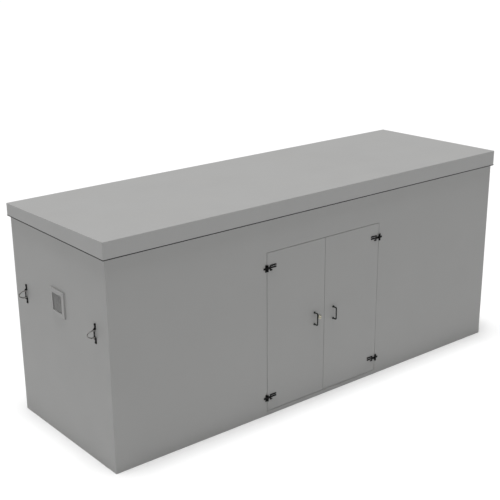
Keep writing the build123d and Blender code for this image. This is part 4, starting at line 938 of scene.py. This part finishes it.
def engine_fittings():
    """Injectors with their rail and pipes, oil filler, oil filters, dipstick, starter and lifting eyes."""
    block_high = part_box("engine_block")[1]
    head_low, head_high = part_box("cylinder_head")
    side = -BLOCK_SIDE
    ledge = block_high.z + HEAD_LEDGE
    fuel = Work()
    rail_y, rail_z, injector_y = -0.1585, ledge + 0.038, -0.1375
    fuel.drum((head_low.x + 0.14, rail_y, rail_z), (head_high.x - 0.14, rail_y, rail_z), 0.011)
    for i in range(4):
        x = head_low.x + 0.18 + i * 0.2
        fuel.drum((x, injector_y, ledge - 0.004), (x, injector_y, ledge + 0.05), 0.011, sides=6)
        fuel.drum((x, injector_y, ledge + 0.05), (x, injector_y, ledge + 0.066), 0.0075)
        run = [(x + 0.05, rail_y, rail_z), (x + 0.05, rail_y, rail_z + 0.045)]
        run += [(x, injector_y, rail_z + 0.045), (x, injector_y, ledge + 0.06)]
        fuel.pipe(run, 0.0032, 0.012)
    for x in (head_low.x + 0.2, head_high.x - 0.2):
        fuel.block((x - 0.012, rail_y - 0.004, ledge - 0.002), (x + 0.012, rail_y + 0.012, rail_z), 0.002)
    piece("fuel_rail", fuel, "zinc_steel")

    filters = Work()
    filter_y = side - 0.062
    outline = [(0.0, 0.0), (0.03, 0.0), (0.042, 0.008), (0.046, 0.02)]
    outline += [(0.046, 0.15), (0.048, 0.156), (0.048, 0.166), (0.0, 0.166)]
    for x in (0.86, 0.99):
        filters.turned((x, filter_y, 0.52), UPWARD, outline, 40)
        for dx, dy in around(12, 0.043):
            spot = Vector((x + dx, filter_y + dy, 0.532))
            filters.drum(spot, spot + Vector((0, 0, 0.03)), 0.003, sides=8)
    piece("oil_filters", filters, "filter_paint")
    head = Work()
    head.block((0.8, side - 0.115, 0.686), (1.05, side + 0.004, 0.732), 0.006)
    for x in (0.86, 0.99):
        head.drum((x, filter_y, 0.732), (x, filter_y, 0.745), 0.02, sides=6)
    piece("oil_filter_head", head, "cover_paint")

    starter = Work()
    y, z = 0.262, 0.60
    starter.drum((0.692, y, z), (0.73, y, z), 0.05, tip=0.062, edge=0.003)
    starter.drum((0.73, y, z), (0.93, y, z), 0.062, edge=0.006)
    starter.drum((0.93, y, z), (0.945, y, z), 0.05, edge=0.004)
    coil_y, coil_z = y + 0.012, z + 0.086
    starter.drum((0.74, coil_y, coil_z), (0.86, coil_y, coil_z), 0.03, edge=0.004)
    for t in (-1, 1):
        stud = coil_y + t * 0.012
        starter.drum((0.86, stud, coil_z), (0.88, stud, coil_z), 0.005, sides=6)
        starter.drum((0.945, y + t * 0.03, z), (0.952, y + t * 0.03, z), 0.005, sides=6)
    piece("starter_motor", starter, "skid_paint")

    top = Work()
    outline = [(0.0, 0.0), (0.034, 0.0), (0.034, 0.012), (0.04, 0.014)]
    outline += [(0.04, 0.032), (0.036, 0.036), (0.0, 0.036)]
    x = head_high.x - 0.2
    top.turned((x, 0.055, head_high.z - 0.001), UPWARD, outline, 40)
    for dx, dy in around(10, 0.039):
        spot = Vector((x + dx, 0.055 + dy, head_high.z + 0.014))
        top.drum(spot, spot + Vector((0, 0, 0.016)), 0.004, sides=8)
    piece("oil_filler_cap", top, "panel_plastic")

    stick = Work()
    points = [(1.22, side + 0.01, 0.60), (1.22, side - 0.045, 0.64), (1.22, side - 0.05, 0.9)]
    stick.pipe(points, 0.0055, 0.03)
    piece("dipstick_tube", stick, "zinc_steel")
    grip = Work()
    grip.hoop((1.22, side - 0.05, 0.925), OUT_RIGHT, 0.018, 0.004)
    grip.drum((1.22, side - 0.05, 0.895), (1.22, side - 0.05, 0.91), 0.009)
    piece("dipstick_grip", grip, YELLOW_HANDLE, slot="panel_plastic")

    eyes = Work()
    for x in (head_low.x + 0.012, head_high.x - 0.012):
        eyes.block((x - 0.005, -0.05, ledge - 0.06), (x + 0.005, 0.05, ledge + 0.02), 0.003)
        eyes.hoop((x, 0.0, ledge + 0.04), OUT_RIGHT, 0.03, 0.009, 32, 10)
    piece("engine_lifting_eyes", eyes, "engine_paint")


def block_castings():
    """Raised ribs and core plugs on the engine block's sides, and the timing cover at its front end."""
    block_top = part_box("engine_block")[1].z
    ribs = Work()
    start, end = 0.74, 1.70
    depth, tall, level_rib = -0.002, 0.008, 0.007
    for s in (-1, 1):
        y0, y1 = sorted((s * (BLOCK_SIDE + depth), s * (BLOCK_SIDE + tall)))
        for x in spaced(start, end, 5):
            ribs.block((x - 0.009, y0, 0.56), (x + 0.009, y1, block_top - 0.02), 0.004)
        y0, y1 = sorted((s * (BLOCK_SIDE + depth), s * (BLOCK_SIDE + level_rib)))
        for z in (0.80, 0.98):
            ribs.block((start, y0, z - 0.009), (end, y1, z + 0.009), 0.004)
        for i in range(4):
            x = start + (i + 0.5) * (end - start) / 4
            outline = [(0.026, -0.002), (0.026, 0.004), (0.022, 0.006), (0.0195, 0.002), (0.0, 0.0015)]
            if s > 0 or i > 1:
                ribs.turned((x, s * BLOCK_SIDE, 0.89), (0.0, s, 0.0), outline, 32)
    piece("block_ribs", ribs, "engine_paint")
    cover = Work()
    x = 1.75
    cover.block((x - 0.002, -0.17, 0.60), (x + 0.012, 0.17, 0.86), 0.008)
    for i in range(5):
        for s in (-1, 1):
            cover.bolt((x + 0.012, s * 0.155, 0.62 + i * 0.055), OUT_RIGHT, 0.006)
    piece("timing_cover", cover, "cover_paint")


def manifold_flanges():
    """Flange plates and nuts where the runners meet the head and the riser meets the manifold."""
    bottom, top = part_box("exhaust_manifold")
    work = Work()
    runner_z = bottom.z + 0.042
    for x in spaced(0.83, 1.57, 4):
        work.block((x - 0.05, 0.17, runner_z - 0.034), (x + 0.05, 0.181, runner_z + 0.034), 0.004)
        for s in (-1, 1):
            work.bolt((x + s * 0.039, 0.181, runner_z), OUT_REAR, 0.008)
    riser_x, riser_y = 0.93, 0.255
    for z in (top.z - 0.014, top.z + 0.001):
        work.drum((riser_x, riser_y, z), (riser_x, riser_y, z + 0.012), 0.085, edge=0.002)
    for dx, dy in around(4, 0.069, 0.5):
        work.bolt((riser_x + dx, riser_y + dy, top.z + 0.013), UPWARD, 0.009)
    piece("exhaust_flanges", work, "cast_iron")


def silencer_details():
    """Strap bands, end seams and the screws of the tail pipe's collar outside the rear wall."""
    bottom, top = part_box("silencer")
    y, z, radius = 0.42, 2.15, 0.13
    work = Work()
    skin, band = radius + 0.0002, radius + 0.003
    for x in (bottom.x + 0.15, top.x - 0.15):
        outline = [(skin, -0.022), (band, -0.022), (band, 0.022), (skin, 0.022)]
        work.turned((x, y, z), OUT_RIGHT, outline, 64)
        work.bolt((x, y, z - band), (0.0, 0.0, -1.0), 0.008)
    root, seam = radius - 0.001, radius + 0.0022
    for x in (bottom.x + 0.028, top.x - 0.028):
        outline = [(root, -0.004), (seam, -0.002), (seam, 0.002), (root, 0.004)]
        work.turned((x, y, z), OUT_RIGHT, outline, 64)
    piece("silencer_bands", work, "silencer_metal")
    bolts = Work()
    tail_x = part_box("exhaust_pipes")[1].x - 0.08
    for dx, dz in around(4, 0.067, 0.5):
        bolts.screw((tail_x + dx, REAR + 0.006, z + dz), OUT_REAR, 0.005)
    piece("tail_collar_screws", bolts, "silencer_metal")


# ---------------- alternator ----------------
def alternator_details():
    """Frame ribs, slotted end cover and terminal box lid."""
    x0, x1 = -0.09, 0.55
    z, radius = joint_at["crank_spin"][2], 0.27
    ribs = Work()
    count = 36
    for i in range(count):
        turn = math.tau * i / count
        if not -0.5 <= math.sin(turn) <= 0.45:
            continue
        spin = Matrix.Rotation(turn, 3, "X")
        centre = Vector((0.0, 0.0, z))
        corner_a = (x0 + 0.12, radius - 0.002, z - 0.003)
        corner_b = (x1 - 0.06, radius + 0.012, z + 0.003)
        ribs.block(corner_a, corner_b, 0.0015, spin, centre)
    piece("alternator_ribs", ribs, "alternator_paint")
    cover = Work()
    outline = [(0.05, 0.0), (0.05, 0.014), (0.18, 0.02), (0.235, 0.012), (0.25, 0.0)]
    cover.turned((x0 + 0.001, 0.0, z), OUT_LEFT, outline, 72)
    for y, rise in around(6, 0.258, 0.5):
        cover.bolt((x0, y, z + rise), OUT_LEFT, 0.008)
    piece("alternator_end_cover", cover, "cover_paint")
    slots = Work()
    for i in range(28):
        turn = math.tau * i / 28
        spin = Matrix.Rotation(turn, 3, "X")
        slots.block((x0 - 0.0215, 0.09, z - 0.005), (x0 - 0.013, 0.16, z + 0.005), 0.002, spin, (0.0, 0.0, z))
    piece("alternator_grille_bars", slots, "skid_paint")
    lid = Work()
    box_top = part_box("alternator_housing")[1].z
    lid.block((x0 + 0.05, -0.22, box_top - 0.002), (x0 + 0.47, 0.22, box_top + 0.01), 0.005)
    lid.block((x0 + 0.12, -0.214, z + 0.29), (x0 + 0.40, -0.209, box_top - 0.02), 0.0015)
    for i in range(4):
        for s in (-1, 1):
            lid.bolt((x0 + 0.07 + i * 0.127, s * 0.2, box_top + 0.01), UPWARD, 0.006)
    for x in (x0 + 0.132, x0 + 0.388):
        for level in (z + 0.302, box_top - 0.032):
            lid.screw((x, -0.214, level), OUT_FRONT, 0.005)
    piece("terminal_box_lid", lid, "alternator_paint")


# ---------------- cooling ----------------
def radiator_details():
    """Fin pack and tubes, filler cap and drain tap."""
    bottom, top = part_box("radiator")
    side, head = 0.03, 0.09
    face = bottom.x + 0.01
    fins, tubes = Work(), Work()
    core_low, core_high, half = bottom.z + head, top.z - head, 0.0006
    for y in spaced(bottom.y + side + 0.005, top.y - side - 0.005, 110):
        for x0, x1 in ((face - 0.004, face + 0.001), (top.x - 0.001, top.x + 0.004)):
            fins.block((x0, y - half, core_low), (x1, y + half, core_high), 0.0)
    for z in spaced(core_low, core_high, 41)[1:-1]:
        for x0, x1 in ((face - 0.0055, face - 0.001), (top.x, top.x + 0.0055)):
            tubes.block((x0, bottom.y + side, z - 0.0015), (x1, top.y - side, z + 0.0015), 0.0008)
    piece("radiator_fins", fins, "radiator_paint")
    piece("radiator_tubes", tubes, "radiator_paint")
    cap = Work()
    outline = [(0.0, 0.0), (0.03, 0.0), (0.03, 0.014), (0.038, 0.014)]
    outline += [(0.04, 0.018), (0.04, 0.024), (0.026, 0.03), (0.0, 0.031)]
    cap_y = 0.25
    cap.turned((bottom.x + 0.055, cap_y, top.z - 0.001), UPWARD, outline, 40)
    for ear in (cap_y - 0.039, cap_y + 0.039):
        corner = (bottom.x + 0.045, ear - 0.006, top.z + 0.014)
        cap.block(corner, (bottom.x + 0.065, ear + 0.006, top.z + 0.022), 0.002)
    piece("radiator_cap", cap, "cap_metal")
    tap = Work()
    x, y, z = bottom.x + 0.05, bottom.y, bottom.z + 0.03
    tap.drum((x, y + 0.001, z), (x, y - 0.018, z), 0.008, sides=6)
    tap.block((x - 0.015, y - 0.024, z - 0.003), (x + 0.015, y - 0.018, z + 0.003), 0.001)
    piece("radiator_drain", tap, COPPER, slot="cap_metal")


def fan_guard():
    """Wire guard between the fan and its belt, stayed to the shroud's ring."""
    x = 1.8155
    shroud_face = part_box("fan_shroud")[0].x
    centre = Vector((x, 0.0, joint_at["fan_spin"][2]))
    wire = 0.0018
    work = Work()
    inner, outer = 0.075, 0.312
    rings = 9
    for i in range(rings):
        work.hoop(centre, OUT_RIGHT, inner + (outer - inner) * i / (rings - 1), wire, 56, 6)
    for i in range(12):
        turn = math.tau * (i + 0.5) / 12
        way = Vector((0.0, math.cos(turn), math.sin(turn)))
        work.drum(centre + way * inner, centre + way * outer, wire * 1.3, edge=0.0, sides=8)
        if i % 3 == 1:
            rim = centre + way * outer
            work.drum(rim, Vector((shroud_face + 0.004, rim.y, rim.z)), wire * 1.6, edge=0.0, sides=8)
    piece("fan_guard", work, "zinc_steel")


def duct_details():
    """Folded flanges and rivets of the discharge duct."""
    bottom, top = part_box("discharge_duct")
    work, rivets = Work(), Work()
    fold, thick = 0.028, 0.012
    for x in (bottom.x + 0.001, top.x - 0.013):
        x1, z0, z1 = x + thick, bottom.z + 0.001, top.z + 0.001
        work.block((x, bottom.y - fold, top.z - 0.001), (x1, top.y + fold, top.z + fold), 0.001)
        work.block((x, bottom.y - fold, z0), (x1, bottom.y + 0.001, z1), 0.001)
        work.block((x, top.y - 0.001, z0), (x1, top.y + fold, z1), 0.001)
    piece("duct_flanges", work, "zinc_steel")
    for x in spaced(bottom.x + 0.06, top.x - 0.06, 9):
        for z in (bottom.z + 0.03, top.z - 0.03):
            rivets.turned((x, bottom.y, z), OUT_FRONT, [(0.0055, 0.0), (0.004, 0.002), (0.0, 0.0028)], 14)
    piece("duct_rivets", rivets, "zinc_steel")


def ribbed_belt():
    """Poly-vee belt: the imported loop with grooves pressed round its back."""
    work = Work("fan_belt")
    bottom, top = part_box("fan_belt")
    slices, groove_depth = 12, 0.0012
    wide = top.x - bottom.x
    for i in range(1, slices):
        work.cut((bottom.x + wide * i / slices, 0, 0), OUT_RIGHT)
    groove = [v for v in work.bm.verts if round((v.co.x - bottom.x) / wide * slices) % 2 == 1]
    work.bm.normal_update()
    for vert in groove:
        side = vert.normal.copy()
        side.x = 0.0
        if side.length > 0.1:
            vert.co -= side.normalized() * groove_depth
    piece("fan_belt_ribbed", work, "belt_rubber", replaces=("fan_belt",), smooth=25.0)


# ---------------- skid, battery and tank ----------------
def skid_details():
    work = Work()
    bottom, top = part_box("skid_frame")
    for x in (0.01, 1.135, 2.26):
        for s in (-1, 1):
            y = s * 0.335
            work.bolt((x, y, bottom.z + 0.01), UPWARD, 0.012)
            for t in (-1, 1):
                work.bolt((x + t * 0.035, y, 0.0585), UPWARD, 0.006)
    for x in (0.81, 1.59):
        for s in (-1, 1):
            work.bolt((x, s * 0.33, top.z + 0.02), UPWARD, 0.012)
    for x in (0.05, 0.41):
        for s in (-1, 1):
            work.bolt((x, s * 0.33, top.z + 0.025), UPWARD, 0.012)
    piece("skid_bolts", work, "zinc_steel")


def battery_details():
    bottom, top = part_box("battery")
    lid_z = top.z - 0.02
    x0, x1 = bottom.x + 0.015, top.x - 0.015
    y0, y1 = bottom.y + 0.015, bottom.y + 0.19
    lid = Work()
    lid.block((x0 - 0.002, y0 - 0.002, lid_z - 0.03), (x1 + 0.002, y1 + 0.002, lid_z - 0.001), 0.004)
    lid.block((x0 + 0.075, y0 + 0.05, lid_z - 0.002), (x1 - 0.075, y1 - 0.05, lid_z + 0.008), 0.003)
    for i in range(6):
        x = x0 + 0.095 + i * (x1 - x0 - 0.19) / 5
        outline = [(0.0, 0.0), (0.0095, 0.0), (0.0095, 0.005), (0.0075, 0.007), (0.0, 0.007)]
        lid.turned((x, (y0 + y1) / 2, lid_z + 0.008), UPWARD, outline, 24)
    piece("battery_lid", lid, "battery_case")
    straps = Work()
    for x in (x0 + 0.025, x1 - 0.025):
        straps.block((x - 0.01, y0 - 0.004, bottom.z + 0.004), (x + 0.01, y0 - 0.001, lid_z + 0.002), 0.001)
        straps.block((x - 0.01, y1 + 0.001, bottom.z + 0.004), (x + 0.01, y1 + 0.004, lid_z + 0.002), 0.001)
        straps.block((x - 0.01, y0 - 0.004, lid_z), (x + 0.01, y1 + 0.004, lid_z + 0.003), 0.001)
        straps.bolt((x, y0 + 0.02, lid_z + 0.003), UPWARD, 0.006)
    piece("battery_straps", straps, "zinc_steel")


def tank_details():
    """Weld seams, foot plates, sight gauge, breather, drain valve and level sender."""
    bottom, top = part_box("fuel_tank")
    crown = top.z - 0.066
    floor_z = bottom.z + 0.12
    seams, metal = Work(), Work()
    for z in (floor_z + 0.02, crown - 0.02, (floor_z + crown) / 2):
        y = bottom.y - 0.0015
        seams.pipe([(bottom.x + 0.04, y + 0.001, z), (top.x - 0.04, y + 0.001, z)], 0.003)
        seams.pipe([(top.x + 0.0005, bottom.y + 0.04, z), (top.x + 0.0005, top.y - 0.04, z)], 0.003)
    for x in (bottom.x + 0.08, top.x - 0.08):
        for y in (bottom.y + 0.08, top.y - 0.08):
            seams.block((x - 0.05, y - 0.05, bottom.z), (x + 0.05, y + 0.05, bottom.z + 0.008), 0.002)
    piece("tank_seams", seams, "tank_paint")
    gauge_x = top.x - 0.12
    gauge_y = bottom.y - 0.022
    for z in (floor_z + 0.1, crown - 0.1):
        metal.drum((gauge_x, bottom.y + 0.002, z), (gauge_x, bottom.y - 0.03, z), 0.011, sides=6)
        metal.drum((gauge_x, gauge_y, z - 0.014), (gauge_x, gauge_y, z + 0.014), 0.011)
    breather = [(bottom.x + 0.15, top.y - 0.12, crown), (bottom.x + 0.15, top.y - 0.12, crown + 0.28)]
    breather += [(bottom.x + 0.22, top.y - 0.12, crown + 0.28), (bottom.x + 0.22, top.y - 0.12, crown + 0.2)]
    metal.pipe(breather, 0.014, 0.03)
    x, y, z = top.x, bottom.y + 0.2, floor_z + 0.05
    metal.drum((x - 0.001, y, z), (x + 0.05, y, z), 0.016, sides=6)
    metal.drum((x + 0.02, y, z), (x + 0.02, y, z + 0.04), 0.006)
    metal.block((x + 0.012, y, z + 0.036), (x + 0.028, y + 0.07, z + 0.042), 0.002)
    outline = [(0.0, 0.0), (0.06, 0.0), (0.06, 0.012), (0.02, 0.016), (0.02, 0.04), (0.0, 0.042)]
    metal.turned((top.x - 0.2, top.y - 0.2, crown - 0.001), UPWARD, outline, 32)
    piece("tank_fittings", metal, "cap_metal")
    tube = Work()
    tube.drum((gauge_x, gauge_y, floor_z + 0.114), (gauge_x, gauge_y, crown - 0.114), 0.006, edge=0.0)
    piece("tank_sight_tube", tube, AMBER_LENS, slot="tank_paint")


# ---------------- control cabinet ----------------
def cabinet_details():
    """Latch, vent slats, display, keys, pilot lamps and the stop button's collar, all on the door."""
    bottom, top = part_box("cabinet_door")
    panel_low, panel_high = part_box("control_panel")
    face = bottom.y
    left = bottom.x + 0.018
    latch = Work()
    x, z = top.x - 0.035, (bottom.z + top.z) / 2
    latch.block((x - 0.014, face - 0.006, z - 0.06), (x + 0.014, face + 0.001, z + 0.06), 0.003)
    latch.drum((x, face - 0.006, z + 0.035), (x, face - 0.014, z + 0.035), 0.011)
    latch.block((x - 0.0085, face - 0.02, z - 0.05), (x + 0.0085, face - 0.009, z + 0.045), 0.004)
    piece("cabinet_latch", latch, "panel_plastic", "cabinet_door")
    vents = Work()
    tilt = Matrix.Rotation(math.radians(-18), 3, "X")
    for i in range(9):
        z = bottom.z + 0.1 + i * 0.016
        vents.block((left + 0.16, face - 0.004, z), (left + 0.44, face + 0.0006, z + 0.007), 0.002, tilt)
    piece("cabinet_vents", vents, "cabinet_paint", "cabinet_door")
    glass_low = (panel_low.x + 0.031, panel_low.y + 0.0008, panel_high.z - 0.109)
    glass_high = (panel_low.x + 0.189, panel_low.y + 0.0035, panel_high.z - 0.026)
    screen = Work()
    screen.block(glass_low, glass_high, 0.0008)
    piece("display_window", screen, DISPLAY_GLASS, "cabinet_door", slot="panel_plastic")
    keys = Work()
    for i in range(3):
        for j in range(2):
            x = panel_high.x - 0.07 + j * 0.034
            z = panel_high.z - 0.045 - i * 0.03
            y0, y1 = panel_low.y - 0.0005, panel_low.y + 0.0045
            keys.block((x - 0.012, y0, z - 0.009), (x + 0.012, y1, z + 0.009), 0.0025)
    piece("display_keys", keys, "switch_plastic", "cabinet_door")
    lenses = (("green", GREEN_LENS), ("amber", AMBER_LENS), ("red", RED_LENS), ("white", DISPLAY_GLASS))
    for i, (name, lens) in enumerate(lenses):
        lamp = Work()
        x = panel_low.x + 0.045 + i * 0.045
        outline = [(0.0075, 0.0), (0.0075, 0.0015), (0.0055, 0.0045), (0.0, 0.0055)]
        lamp.turned((x, panel_low.y, panel_low.z + 0.035), OUT_FRONT, outline, 28)
        piece("pilot_lamp_" + name, lamp, lens, "cabinet_door", slot="panel_plastic")
    collar = Work()
    stop_low, stop_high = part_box("stop_button")
    x, z = (stop_low.x + stop_high.x) / 2, (stop_low.z + stop_high.z) / 2
    outline = [(0.0105, 0.0), (0.029, 0.0), (0.029, 0.003), (0.024, 0.0048), (0.0105, 0.0048)]
    collar.turned((x, face, z), OUT_FRONT, outline, 40)
    piece("stop_button_collar", collar, YELLOW_HANDLE, "cabinet_door", slot="panel_plastic")


def switchgear_details():
    """Toggles, terminal screws and busbars on the mounting plate."""
    bottom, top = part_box("switchgear")
    cabinet_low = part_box("control_cabinet")[0]
    toggles, bars, screws = Work(), Work(), Work()
    back = top.y - 0.015
    for rise, depth in ((0.32, 0.13), (0.64, 0.11), (0.94, 0.09)):
        z = cabinet_low.z + rise
        for i in range(3):
            x = cabinet_low.x + 0.106 + i * 0.155
            face = back - depth
            toggles.block((x + 0.03, face - 0.004, z + 0.05), (x + 0.1, face + 0.001, z + 0.14), 0.002)
            toggles.block((x + 0.055, face - 0.022, z + 0.085), (x + 0.075, face - 0.003, z + 0.115), 0.003)
            for j in range(3):
                for level in (0.018, 0.172):
                    screws.screw((x + 0.025 + j * 0.04, face, z + level), OUT_FRONT, 0.006)
    for i in range(3):
        z = cabinet_low.z + 1.22 + i * 0.04
        bars.block((bottom.x + 0.03, back - 0.03, z), (top.x - 0.03, back - 0.022, z + 0.022), 0.001)
        for j in range(6):
            bars.bolt((bottom.x + 0.06 + j * 0.084, back - 0.03, z + 0.011), OUT_FRONT, 0.005)
    piece("breaker_toggles", toggles, "panel_plastic")
    piece("terminal_screws", screws, "zinc_steel")
    piece("busbars", bars, COPPER, slot="switch_plastic")


# ---------------- whole scene ----------------
make_camera()
make_light()
make_floor()
paint_frame()
rounded_parts()
roof_details()
hinge_screws()
handle_fixings()
lock_knob()
leaf_inside()
vent_details()
strap_details()
louvre_details()
room_fittings()
tread_lugs()
engine_fasteners()
engine_fittings()
block_castings()
manifold_flanges()
silencer_details()
alternator_details()
radiator_details()
fan_guard()
duct_details()
ribbed_belt()
skid_details()
battery_details()
tank_details()
cabinet_details()
switchgear_details()
